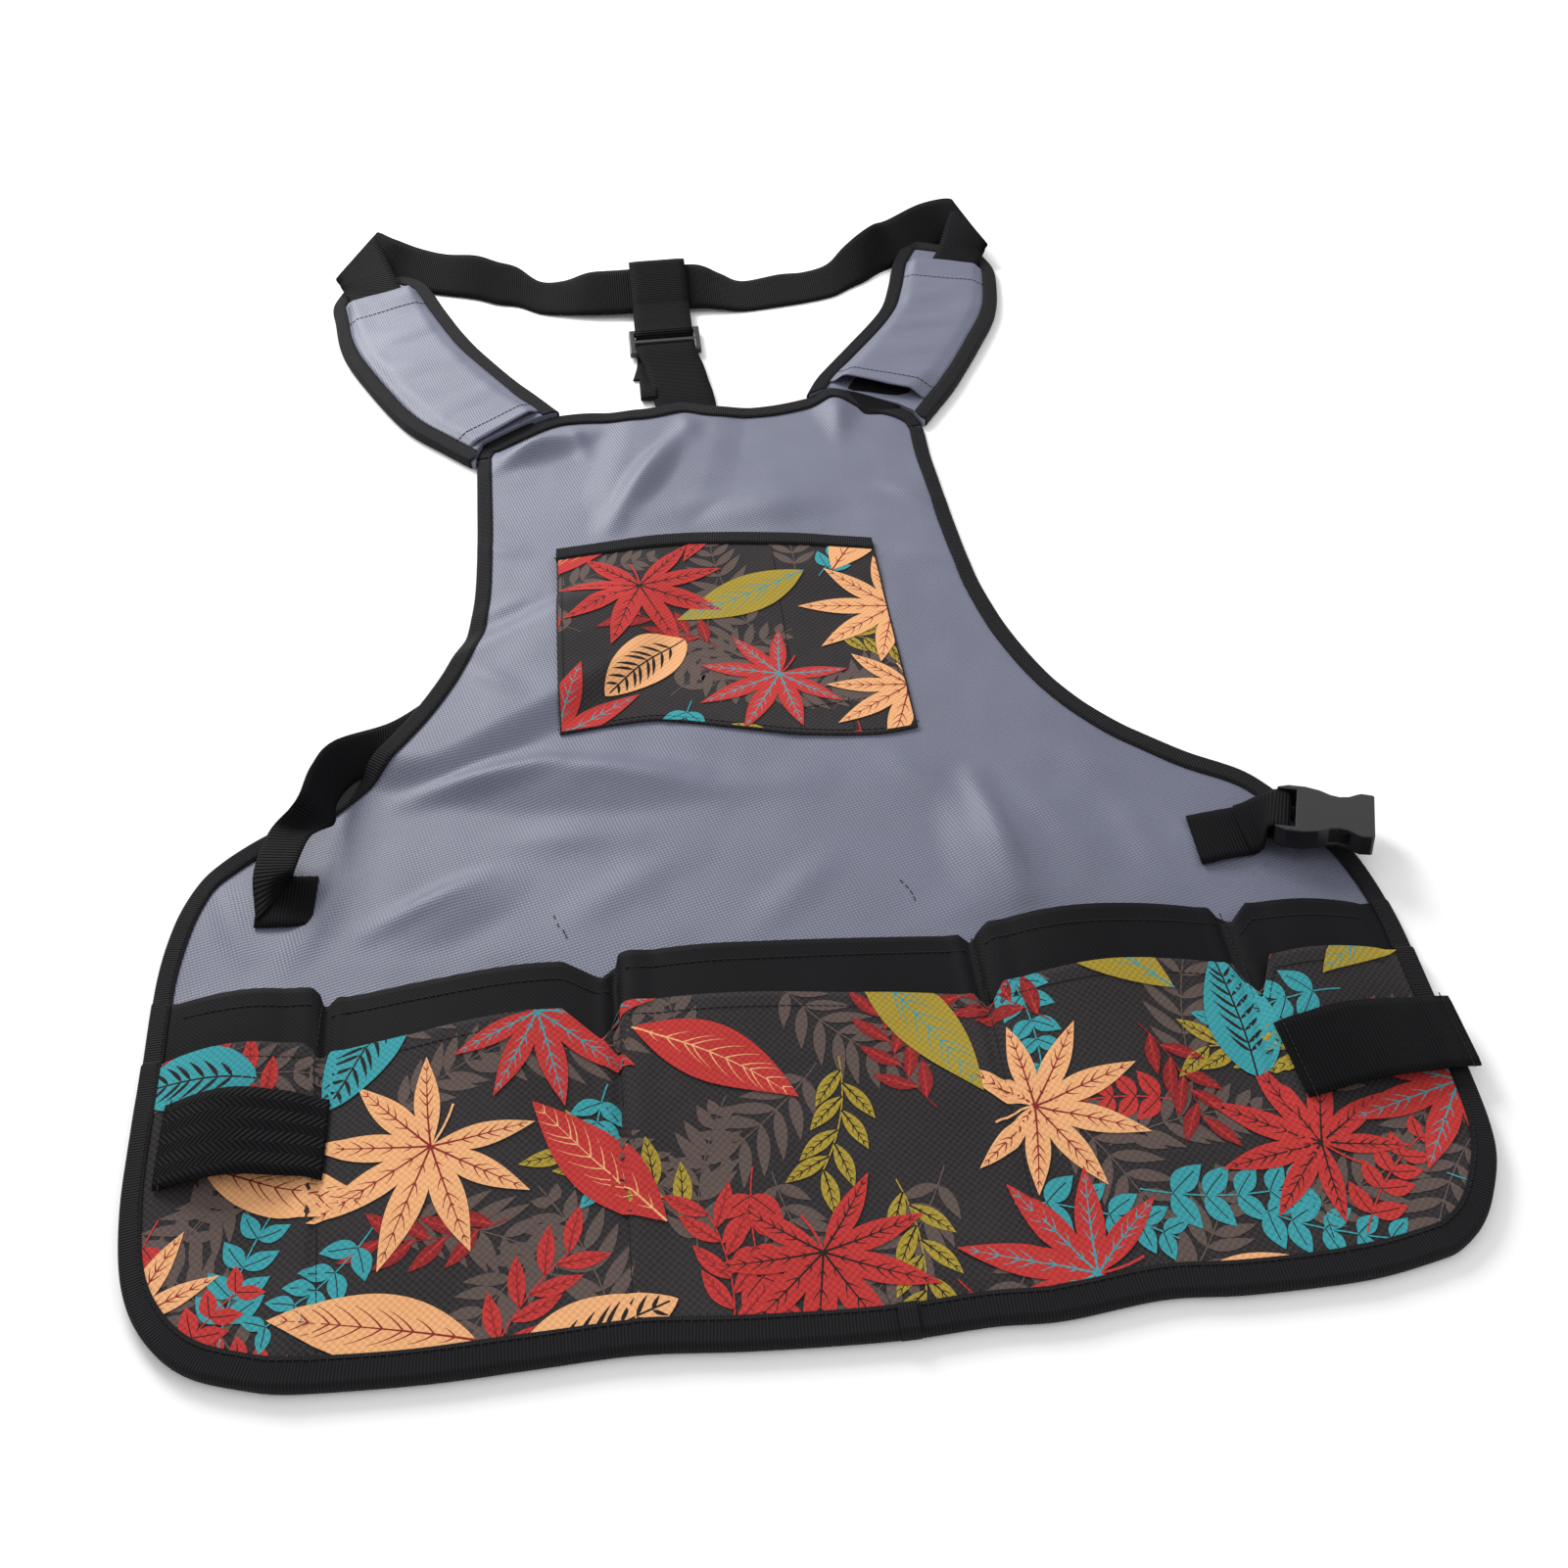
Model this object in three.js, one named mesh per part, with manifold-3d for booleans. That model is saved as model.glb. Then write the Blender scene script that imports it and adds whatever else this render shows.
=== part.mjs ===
// A gardening apron with pockets, shoulder pads and webbing straps, laid flat on a table.
// Millimetres, +Z up, hem towards -Y and neck towards +Y, resting on z = 0.
import * as THREE from 'three';
import { mergeVertices } from 'three/addons/utils/BufferGeometryUtils.js';
import Module from 'manifold-3d';

const wasm = await Module();
wasm.setup();

// Overall sizes
const skirtHalfWidth = 268;
const apronLength = 634;
const printPocketDepth = 152;
const darkPocketDepth = 186;
const pocketRise = 14;
const foldRise = 7;
const foldSlope = 22;
const cornerRise = 60;

// Chest pocket
const chestWidth = 176;
const chestHeight = 155;
const chestCentreX = -0.015 * skirtHalfWidth;
const chestCentreY = 0.64 * apronLength;
const chestRise = 6;

// Webbing, straps and pads
const webbingWidth = 38;
const webbingWall = 1.6;
const slimWidth = 30;
const slimWall = 1.5;
const padLength = 230;
const padAnchorY = 0.959 * apronLength;
const leftPadX = -0.418 * skirtHalfWidth;
const rightPadX = 0.366 * skirtHalfWidth;
const padThickness = 4;
const loopBow = 7.5;
const loopHeight = 39;

// Hard pieces
const sliderLength = 30;
const sliderBar = 4;
const sliderThickness = 4;
const socketLength = 40;
const socketWidth = 37;
const socketThickness = 10;
const socketWall = 1.8;
const plugLength = 44;
const plugThickness = 6;

// Cloth, binding tape and the clearance that neighbouring pieces keep
const clothWall = 1.2;
const tapeWall = 1;
const bindingWidth = 12;
const chestBandWidth = 11;
const gap = 0.3;
const clothBase = tapeWall + gap;
const layerStep = clothWall + gap;
const mouthRise = tapeWall + 2 * gap;

const finish = {
  greyCloth: { color: 0x85889a, roughness: 0.62, metalness: 0 },
  darkCloth: { color: 0x222226, roughness: 0.75, metalness: 0 },
  printCloth: { color: 0x4a3533, roughness: 0.7, metalness: 0 },
  tape: { color: 0x1c1c1e, roughness: 0.85, metalness: 0 },
  webbing: { color: 0x1a1a1c, roughness: 0.8, metalness: 0 },
  plastic: { color: 0x2a2b2f, roughness: 0.4, metalness: 0 },
};

// Half widths up each side, and how far up the apron they are measured
const sideRows = [
  { up: 0.019, left: 0.770, right: 0.867 },
  { up: 0.031, left: 0.852, right: 0.911 },
  { up: 0.053, left: 0.911, right: 0.950 },
  { up: 0.087, left: 0.954, right: 0.985 },
  { up: 0.141, left: 0.978, right: 0.998 },
  { up: 0.203, left: 0.985, right: 1.000 },
  { up: 0.266, left: 0.991, right: 1.006 },
  { up: 0.320, left: 0.996, right: 0.996 },
  { up: 0.359, left: 0.989, right: 0.967 },
  { up: 0.398, left: 0.970, right: 0.911 },
  { up: 0.425, left: 0.937, right: 0.867 },
  { up: 0.450, left: 0.874, right: 0.785 },
  { up: 0.475, left: 0.781, right: 0.719 },
  { up: 0.503, left: 0.715, right: 0.659 },
  { up: 0.539, left: 0.648, right: 0.602 },
  { up: 0.586, left: 0.585, right: 0.557 },
  { up: 0.641, left: 0.535, right: 0.522 },
  { up: 0.703, left: 0.511, right: 0.502 },
  { up: 0.781, left: 0.506, right: 0.493 },
  { up: 0.875, left: 0.511, right: 0.487 },
  { up: 0.944, left: 0.513, right: 0.487 },
];

// The hem, from left to right
const hemRows = [
  { across: -0.711, up: 0.014 },
  { across: -0.541, up: 0.011 },
  { across: -0.400, up: 0.0125 },
  { across: -0.256, up: 0.014 },
  { across: -0.115, up: 0.009 },
  { across: 0.015, up: 0.006 },
  { across: 0.111, up: 0.005 },
  { across: 0.222, up: 0.007 },
  { across: 0.315, up: 0.0055 },
  { across: 0.456, up: 0.0115 },
  { across: 0.570, up: 0.0085 },
  { across: 0.741, up: 0.0095 },
];

// The bib's top edge, from right to left, cut off at the corners that carry the pads
const bibTopRows = [
  { across: 0.448, up: 0.969 },
  { across: 0.315, up: 1.006 },
  { across: 0.256, up: 1.000 },
  { across: 0.156, up: 0.991 },
  { across: 0.030, up: 0.994 },
  { across: -0.043, up: 1.005 },
  { across: -0.141, up: 0.998 },
  { across: -0.285, up: 1.005 },
  { across: -0.370, up: 0.998 },
  { across: -0.500, up: 0.959 },
];

// Lines of the sewing pattern across the apron: at the hem and at the pocket mouths
const columns = [
  { hem: -1.10, mouth: -1.10 },
  { hem: -0.94, mouth: -0.955 },
  { hem: -0.86, mouth: -0.885 },
  { hem: -0.78, mouth: -0.80 },
  { hem: -0.69, mouth: -0.735 },
  { hem: -0.66, mouth: -0.70 },
  { hem: -0.60, mouth: -0.62 },
  { hem: -0.51, mouth: -0.51 },
  { hem: -0.41, mouth: -0.41 },
  { hem: -0.343, mouth: -0.343 },
  { hem: -0.245, mouth: -0.259 },
  { hem: -0.21, mouth: -0.22 },
  { hem: -0.13, mouth: -0.13 },
  { hem: -0.04, mouth: -0.04 },
  { hem: 0.04, mouth: 0.04 },
  { hem: 0.10, mouth: 0.10 },
  { hem: 0.19, mouth: 0.19 },
  { hem: 0.25, mouth: 0.25 },
  { hem: 0.316, mouth: 0.313 },
  { hem: 0.36, mouth: 0.35 },
  { hem: 0.42, mouth: 0.42 },
  { hem: 0.50, mouth: 0.50 },
  { hem: 0.58, mouth: 0.58 },
  { hem: 0.66, mouth: 0.66 },
  { hem: 0.70, mouth: 0.69 },
  { hem: 0.732, mouth: 0.722 },
  { hem: 0.76, mouth: 0.755 },
  { hem: 0.84, mouth: 0.84 },
  { hem: 0.92, mouth: 0.92 },
  { hem: 0.955, mouth: 0.96 },
  { hem: 1.10, mouth: 1.10 },
];

// Lines of the pattern up the apron, each set a share of its own stretch
const printRowShares = [-0.12, 0.12, 0.22, 0.36, 0.5, 0.62, 0.76, 0.88, 0.95, 1];
const darkRowShares = [0.3, 0.65, 1];
const bibRowShares = [
  0.02, 0.05, 0.11, 0.17, 0.22, 0.27, 0.31, 0.35, 0.39, 0.43, 0.47, 0.52,
  0.57, 0.62, 0.66, 0.70, 0.75, 0.80, 0.85, 0.90, 0.945, 0.975, 1, 1.06,
];

// Lower pockets: where each begins and ends, where it stands open most, and by how much
const pocketRows = [
  { from: -0.955, to: -0.735, peak: 0.55, dark: 0.50, print: 0.36 },
  { from: -0.735, to: -0.259, peak: 0.66, dark: 0.62, print: 0.42 },
  { from: -0.259, to: 0.313, peak: 0.24, dark: 0.62, print: 0.42 },
  { from: 0.313, to: 0.722, peak: 0.42, dark: 1.00, print: 0.42 },
  { from: 0.722, to: 0.96, peak: 0.45, dark: 0.50, print: 0.36 },
];

// Soft folds in the grey cloth: middle, direction in degrees, half sizes and height
const foldRows = [
  { across: -0.14, up: 0.885, turn: 63, long: 0.26, wide: 0.09, rise: 0.75 },
  { across: -0.37, up: 0.945, turn: 22, long: 0.15, wide: 0.06, rise: 0.70 },
  { across: -0.34, up: 0.485, turn: -8, long: 0.34, wide: 0.10, rise: 0.80 },
  { across: 0.39, up: 0.375, turn: -83, long: 0.19, wide: 0.10, rise: 0.70 },
  { across: -0.52, up: 0.365, turn: 29, long: 0.16, wide: 0.08, rise: 0.50 },
  { across: 0.31, up: 0.985, turn: 90, long: 0.12, wide: 0.07, rise: 0.55 },
  { across: 0.10, up: 0.815, turn: 4, long: 0.20, wide: 0.07, rise: 0.45 },
];

// The chest pocket's outline round its centre, from the bottom left corner
const chestRows = [
  { across: -0.500, up: -0.428 },
  { across: -0.261, up: -0.400 },
  { across: -0.153, up: -0.422 },
  { across: 0.023, up: -0.480 },
  { across: 0.176, up: -0.529 },
  { across: 0.372, up: -0.561 },
  { across: 0.500, up: -0.545 },
  { across: 0.500, up: 0.465 },
  { across: 0.284, up: 0.490 },
  { across: 0.045, up: 0.520 },
  { across: -0.153, up: 0.543 },
  { across: -0.500, up: 0.555 },
];

// Corners of the two webbing loops over the outer pockets
const leftLoopRows = [
  { across: -0.930, along: 0 },
  { across: -0.690, along: -0.13 },
  { across: -0.690, along: 0.87 },
  { across: -0.930, along: 1 },
];
const rightLoopRows = [
  { across: 0.735, along: -0.42 },
  { across: 1.020, along: -0.25 },
  { across: 1.025, along: 0.68 },
  { across: 0.725, along: 0.54 },
];
const leftLoopY = 0.63 * printPocketDepth;

// Shoulder pads, from the bib outwards: the outer and inner edges
const leftPadRows = [
  { outX: 0.113, outY: -0.100, inX: -0.113, inY: 0.104 },
  { outX: 0.209, outY: 0.004, inX: -0.057, inY: 0.191 },
  { outX: 0.313, outY: 0.126, inX: 0.009, inY: 0.291 },
  { outX: 0.426, outY: 0.343, inX: 0.141, inY: 0.526 },
  { outX: 0.509, outY: 0.543, inX: 0.224, inY: 0.726 },
  { outX: 0.543, outY: 0.726, inX: 0.278, inY: 0.874 },
  { outX: 0.557, outY: 0.817, inX: 0.313, inY: 0.939 },
  { outX: 0.530, outY: 0.917, inX: 0.365, inY: 0.974 },
];
const rightPadRows = [
  { outX: 0.146, outY: -0.070, inX: -0.148, inY: 0.087 },
  { outX: 0.209, outY: 0.026, inX: -0.122, inY: 0.148 },
  { outX: 0.270, outY: 0.122, inX: -0.089, inY: 0.213 },
  { outX: 0.370, outY: 0.313, inX: 0.009, inY: 0.357 },
  { outX: 0.452, outY: 0.491, inX: 0.124, inY: 0.535 },
  { outX: 0.491, outY: 0.674, inX: 0.172, inY: 0.674 },
  { outX: 0.496, outY: 0.765, inX: 0.213, inY: 0.830 },
  { outX: 0.470, outY: 0.870, inX: 0.270, inY: 0.957 },
];

// The neck webbing where it leaves each sleeve and turns over towards the middle
const leftTurnRows = [
  { outX: 0.48, outY: -0.12, outZ: 0.215, inX: -0.40, inY: 0.31, inZ: 0.215 },
  { outX: 0.72, outY: 0.70, outZ: 0.37, inX: -0.28, inY: 0.74, inZ: 0.36 },
  { outX: 0.41, outY: 1.37, outZ: 0.47, inX: -0.46, inY: 0.97, inZ: 0.30 },
  { outX: 0.17, outY: 2.32, outZ: 0.45, inX: -0.25, inY: 1.45, inZ: 0.08 },
  { outX: -0.33, outY: 2.16, outZ: 0.26, inX: -0.57, inY: 1.24, inZ: 0.03 },
  { outX: -0.99, outY: 1.76, outZ: 0.17, inX: -0.99, inY: 0.84, inZ: 0.03 },
  { outX: -1.30, outY: 1.37, outZ: 0.32, inX: -1.30, inY: 0.45, inZ: 0.03 },
];
const rightTurnRows = [
  { outX: 0.47, outY: -0.10, outZ: 0.215, inX: -0.42, inY: 0.14, inZ: 0.215 },
  { outX: 0.62, outY: 0.34, outZ: 0.32, inX: -0.37, inY: 0.75, inZ: 0.36 },
  { outX: 0.44, outY: 1.09, outZ: 0.45, inX: -0.41, inY: 1.04, inZ: 0.30 },
  { outX: 0.30, outY: 2.18, outZ: 0.42, inX: -0.07, inY: 1.49, inZ: 0.08 },
  { outX: -0.02, outY: 2.42, outZ: 0.26, inX: -0.31, inY: 1.43, inZ: 0.03 },
  { outX: -0.73, outY: 2.20, outZ: 0.14, inX: -0.76, inY: 1.28, inZ: 0.03 },
  { outX: -1.12, outY: 1.56, outZ: 0.39, inX: -1.15, inY: 0.62, inZ: 0.03 },
];

// The neck webbing between the pads: place of its lower edge, lean from upright and lift
const neckRows = [
  { across: -0.545, up: 1.271, lean: 70, lift: 0 },
  { across: -0.489, up: 1.254, lean: 75, lift: 0 },
  { across: -0.429, up: 1.237, lean: 82, lift: 0 },
  { across: -0.373, up: 1.218, lean: 86, lift: 0 },
  { across: -0.310, up: 1.208, lean: 82, lift: 0.6 },
  { across: -0.243, up: 1.200, lean: 71, lift: 1.2 },
  { across: -0.170, up: 1.196, lean: 69, lift: 1.4 },
  { across: -0.070, up: 1.196, lean: 69, lift: 1.4 },
  { across: 0.030, up: 1.196, lean: 69, lift: 1.4 },
  { across: 0.090, up: 1.192, lean: 79, lift: 0.8 },
  { across: 0.145, up: 1.190, lean: 87, lift: 0 },
  { across: 0.243, up: 1.195, lean: 85, lift: 0 },
  { across: 0.310, up: 1.200, lean: 87, lift: 0 },
  { across: 0.373, up: 1.208, lean: 84, lift: 0 },
  { across: 0.418, up: 1.222, lean: 72, lift: 0 },
  { across: 0.463, up: 1.235, lean: 58, lift: 0 },
  { across: 0.505, up: 1.251, lean: 48, lift: 0 },
];

// The waist webbing, from its sewn tab to its plug under the bib
const waistRows = [
  { outX: -0.40, outY: -0.40, outZ: 0.18, inX: 0.10, inY: 0.40, inZ: 0.18 },
  { outX: -0.50, outY: 0.43, outZ: 0.30, inX: 0.20, inY: 0.13, inZ: 0.60 },
  { outX: -0.33, outY: 1.20, outZ: 0.40, inX: 0.40, inY: 0.73, inZ: 0.70 },
  { outX: 0.33, outY: 1.17, outZ: 1.00, inX: 0.43, inY: 1.57, inZ: 0.25 },
  { outX: 0.43, outY: 1.93, outZ: 1.03, inX: 0.40, inY: 2.10, inZ: 0.24 },
  { outX: 0.70, outY: 2.77, outZ: 0.85, inX: 0.58, inY: 2.72, inZ: 0.10 },
  { outX: 1.45, outY: 3.93, outZ: 0.10, inX: 1.10, inY: 2.97, inZ: 0.04 },
  { outX: 2.20, outY: 4.63, outZ: 0.08, inX: 2.45, inY: 3.67, inZ: 0.04 },
  { outX: 2.83, outY: 5.00, outZ: 0.04, inX: 3.33, inY: 4.13, inZ: 0.04 },
  { outX: 3.20, outY: 5.27, outZ: 0.04, inX: 3.70, inY: 4.42, inZ: 0.04 },
];
const tabLength = 26;
const waistTabX = -0.806 * skirtHalfWidth;
const waistTabY = 0.386 * apronLength;

// Cloth held up by the webbing that runs beneath it, as folds with a flat top
const lyingWebbingRows = [
  { fromX: -0.60, fromY: 0.560, toX: -0.290, toY: 0.645, half: 0.10, rise: 1 },
  { fromX: -0.045, fromY: 1.02, toX: -0.12, toY: 0.865, half: 0.09, rise: 0.32 },
];

// The plug's outline along its length and across it
const plugRows = [
  { along: 0, across: -0.5 },
  { along: 0.34, across: -0.5 },
  { along: 0.66, across: -0.56 },
  { along: 0.93, across: -0.36 },
  { along: 0.93, across: -0.20 },
  { along: 0.44, across: -0.34 },
  { along: 0.44, across: -0.10 },
  { along: 0.98, across: -0.07 },
  { along: 0.98, across: 0.07 },
  { along: 0.44, across: 0.10 },
  { along: 0.44, across: 0.34 },
  { along: 0.93, across: 0.20 },
  { along: 0.93, across: 0.36 },
  { along: 0.66, across: 0.56 },
  { along: 0.34, across: 0.5 },
  { along: 0, across: 0.5 },
];

// Half widths along the socket, from its webbing bar to its mouth
const socketRows = [
  { along: -0.07, half: 0.44 },
  { along: 0.05, half: 0.50 },
  { along: 0.24, half: 0.50 },
  { along: 0.40, half: 0.45 },
  { along: 0.52, half: 0.37 },
  { along: 0.62, half: 0.345 },
  { along: 0.72, half: 0.37 },
  { along: 0.82, half: 0.45 },
  { along: 0.86, half: 0.47 },
  { along: 0.98, half: 0.46 },
  { along: 1.00, half: 0.44 },
];

// The back strap below its slider: drift sideways, share of the way down and lift
const backRunRows = [
  { across: 0, along: -0.02, lift: 1.4 },
  { across: 0.03, along: 0.10, lift: 1.1 },
  { across: 0.10, along: 0.20, lift: 1.1 },
  { across: 0.17, along: 0.27, lift: 0 },
  { across: 0.16, along: 0.40, lift: 0 },
  { across: -0.10, along: 0.65, lift: 0 },
  { across: -0.55, along: 1, lift: 0 },
];
const backStrapX = -0.069 * skirtHalfWidth;
const backStrapDrop = 31;
const backEndShare = 0.83;

// Where the socket lies, and how it is turned, in degrees
const socketX = 0.882 * skirtHalfWidth;
const socketY = 0.3625 * apronLength;
const socketZ = 12.5;
const socketYaw = -21;
const socketPitch = -4;
const socketRoll = -10;
const socketBar = 3.4;
const socketMouth = 24;
const socketCavity = 6.2;
const tabReach = 35;

// Joins of the binding tape
const hemJoinX = 0.115 * skirtHalfWidth;
const bibJoinY = 0.935 * apronLength;

function smooth(share) {
  const clipped = Math.min(1, Math.max(0, share));
  return clipped * clipped * (3 - 2 * clipped);
}

function at(x, y, z) {
  return new THREE.Vector3(x, y, z);
}

// A closed three.js geometry becomes a solid that can be joined and cut
function solidOf(geometry) {
  const bare = geometry.clone();
  bare.deleteAttribute('normal');
  bare.deleteAttribute('uv');
  const merged = mergeVertices(bare, 1e-4);
  return new wasm.Manifold(new wasm.Mesh({
    numProp: 3,
    vertProperties: new Float32Array(merged.attributes.position.array),
    triVerts: new Uint32Array(merged.index.array),
  }));
}

function meshOf(name, solid, look) {
  const { vertProperties, triVerts } = solid.getMesh();
  const geometry = new THREE.BufferGeometry();
  geometry.setAttribute('position', new THREE.BufferAttribute(vertProperties, 3));
  geometry.setIndex(new THREE.BufferAttribute(triVerts, 1));
  geometry.computeVertexNormals();
  const mesh = new THREE.Mesh(geometry, new THREE.MeshStandardMaterial(look));
  mesh.name = name;
  return mesh;
}

// A wall between two matching nets of points, closed round its rim
function shell(low, high) {
  const rows = low.length;
  const count = low[0].length;
  const points = [...low.flat(), ...high.flat()];
  const top = rows * count;
  const faces = [];
  const quad = (a, b, c, d) => faces.push(a, b, c, a, c, d);
  for (let i = 0; i < rows - 1; i += 1) {
    for (let j = 0; j < count - 1; j += 1) {
      const a = i * count + j;
      quad(top + a, top + a + 1, top + a + count + 1, top + a + count);
      faces.push(a, a + count + 1, a + 1, a, a + count, a + count + 1);
    }
    const left = i * count;
    const right = left + count - 1;
    quad(left, top + left, top + left + count, left + count);
    quad(right, right + count, top + right + count, top + right);
  }
  const last = (rows - 1) * count;
  for (let j = 0; j < count - 1; j += 1) {
    quad(j, j + 1, top + j + 1, top + j);
    quad(last + j, top + last + j, top + last + j + 1, last + j + 1);
  }
  const geometry = new THREE.BufferGeometry().setFromPoints(points);
  geometry.setIndex(faces);
  return solidOf(geometry);
}

function prism(points, bottom, top) {
  const geometry = new THREE.ExtrudeGeometry(new THREE.Shape(points), {
    depth: top - bottom,
    bevelEnabled: false,
  });
  geometry.translate(0, 0, bottom);
  return solidOf(geometry);
}

// A closed counter-clockwise outline moved outwards, or inwards where distance is negative
function grow(points, distance) {
  return points.map((point, i) => {
    const before = points[(i + points.length - 1) % points.length];
    const after = points[(i + 1) % points.length];
    const into = new THREE.Vector2().subVectors(point, before).normalize();
    const onward = new THREE.Vector2().subVectors(after, point).normalize();
    const normalIn = new THREE.Vector2(into.y, -into.x);
    const normalOut = new THREE.Vector2(onward.y, -onward.x);
    const miter = normalIn.add(normalOut).normalize();
    const stretch = Math.max(0.5, miter.dot(normalOut));
    return point.clone().addScaledVector(miter, distance / stretch);
  });
}

function apronOutline() {
  const right = sideRows.map((row) => [row.right * skirtHalfWidth, row.up * apronLength]);
  const left = sideRows.map((row) => [-row.left * skirtHalfWidth, row.up * apronLength]);
  const hem = hemRows.map((row) => [row.across * skirtHalfWidth, row.up * apronLength]);
  const top = bibTopRows.map((row) => [row.across * skirtHalfWidth, row.up * apronLength]);
  return [...hem, ...right, ...top, ...left.reverse()].map(([x, y]) => new THREE.Vector2(x, y));
}

function foldHeight(x, y) {
  const fromFolds = foldRows.map((row) => {
    const dx = x - row.across * skirtHalfWidth;
    const dy = y - row.up * apronLength;
    const turn = THREE.MathUtils.degToRad(row.turn);
    const along = (dx * Math.cos(turn) + dy * Math.sin(turn)) / (row.long * skirtHalfWidth);
    const aside = (dy * Math.cos(turn) - dx * Math.sin(turn)) / (row.wide * skirtHalfWidth);
    return row.rise * foldRise * smooth(1 - Math.hypot(along, aside));
  });
  const fromWebbing = lyingWebbingRows.map((row) => {
    const from = new THREE.Vector2(row.fromX * skirtHalfWidth, row.fromY * apronLength);
    const to = new THREE.Vector2(row.toX * skirtHalfWidth, row.toY * apronLength);
    const run = to.clone().sub(from);
    const share = new THREE.Vector2(x, y).sub(from).dot(run) / run.lengthSq();
    const nearest = from.clone().addScaledVector(run, Math.min(1, Math.max(0, share)));
    const away = Math.hypot(x - nearest.x, y - nearest.y);
    return row.rise * foldRise * smooth(1 - (away - row.half * skirtHalfWidth) / foldSlope);
  });
  const folds = fromFolds.reduce((sum, value) => sum + value, 0);
  return Math.max(folds, ...fromWebbing);
}

// Rise of a lower pocket's mouth at one place, from nothing at its seams and its foot
function pocketHeight(layer, mouth, y, depth) {
  const row = pocketRows.find((pocket) => mouth >= pocket.from && mouth <= pocket.to);
  if (!row || y > darkPocketDepth + 1) return 0;
  const share = (mouth - row.from) / (row.to - row.from);
  const bent = share ** (Math.log(0.5) / Math.log(row.peak));
  const cornerShare = smooth((Math.abs(mouth) - 0.68) / 0.25);
  const foot = bindingWidth + hemRows[0].up * apronLength + cornerRise * cornerShare;
  const up = Math.max(0, (y - foot) / (depth - foot));
  return row[layer] * pocketRise * Math.sin(Math.PI * bent) * Math.min(1, up ** 1.5);
}

function chestRiseAt(x, y) {
  const across = (x - chestCentreX) / chestWidth;
  const up = (y - chestCentreY) / chestHeight + 0.5;
  const belly = Math.max(0, Math.cos(Math.PI * Math.min(0.5, Math.abs(across))));
  const band = (tapeWall + gap) * smooth((up - 0.62) / 0.16);
  return chestRise * belly * smooth((up - 0.35) / 0.6) + band;
}

// The net of pattern lines that every flat cloth piece shares, so layers never cross
function patternRows() {
  const print = printRowShares.map((share) => share * printPocketDepth);
  const dark = darkRowShares.map((share) => (
    printPocketDepth + share * (darkPocketDepth - printPocketDepth)));
  const bib = bibRowShares.map((share) => (
    darkPocketDepth + share * (apronLength - darkPocketDepth)));
  return [...print, ...dark, ...bib];
}

function netOf(heightAt) {
  return patternRows().map((y) => columns.map((column) => {
    const share = Math.min(1, Math.max(0, y / darkPocketDepth));
    const across = column.hem + share * (column.mouth - column.hem);
    const x = across * skirtHalfWidth;
    return at(x, y, heightAt(x, y, column.mouth));
  }));
}

const bodyLow = (x, y) => clothBase + foldHeight(x, y);
const darkLow = (x, y, mouth) => (
  bodyLow(x, y) + layerStep + pocketHeight('dark', mouth, y, darkPocketDepth));
const printLow = (x, y, mouth) => (
  darkLow(x, y, mouth) + layerStep + pocketHeight('print', mouth, y, printPocketDepth));
const chestLow = (x, y) => bodyLow(x, y) + layerStep + chestRiseAt(x, y);
const raised = (heightAt, rise) => (x, y, mouth) => heightAt(x, y, mouth) + rise;

function cloth(outline, heightAt, wall) {
  const slab = shell(netOf(heightAt), netOf(raised(heightAt, wall)));
  return slab.intersect(prism(outline, -1, 90));
}

// Binding height over however many layers of cloth its slot holds
function stackTop(x, y, mouth) {
  if (y <= printPocketDepth) return printLow(x, y, mouth) + clothWall;
  if (y <= darkPocketDepth) return darkLow(x, y, mouth) + clothWall;
  return bodyLow(x, y) + clothWall;
}

function bindings(outline) {
  const inner = grow(outline, -bindingWidth);
  const outer = grow(outline, gap + tapeWall);
  const slotLow = netOf(raised(bodyLow, -gap));
  const slotHigh = netOf(raised(stackTop, gap));
  const slot = shell(slotLow, slotHigh).intersect(prism(grow(outline, gap), -1, 90));
  const low = netOf(raised(bodyLow, -gap - tapeWall));
  const high = netOf(raised(stackTop, gap + tapeWall));
  const band = shell(low, high).intersect(prism(outer, -1, 90));
  const ring = band.subtract(prism(inner, -2, 91)).subtract(slot);
  const reach = 2 * apronLength;
  const box = (x0, x1, y0, y1) => prism(
    [[x0, y0], [x1, y0], [x1, y1], [x0, y1]].map(([x, y]) => new THREE.Vector2(x, y)), -3, 92);
  return [
    ['bib_top_binding', ring.intersect(box(-reach, reach, bibJoinY + gap, reach))],
    ['left_binding', ring.intersect(box(-reach, hemJoinX - gap, -reach, bibJoinY))],
    ['right_binding', ring.intersect(box(hemJoinX, reach, -reach, bibJoinY))],
  ];
}

// The parts of the outline below a pocket's mouth line
function belowLine(outline, depth) {
  const reach = 2 * skirtHalfWidth;
  const box = [[-reach, -reach], [reach, -reach], [reach, depth], [-reach, depth]];
  const cut = prism(box.map(([x, y]) => new THREE.Vector2(x, y)), -2, 91);
  return prism(outline, -1, 90).intersect(cut);
}

function lowerPocket(outline, heightAt, depth) {
  const slab = shell(netOf(heightAt), netOf(raised(heightAt, clothWall)));
  return slab.intersect(belowLine(outline, depth));
}

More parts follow.
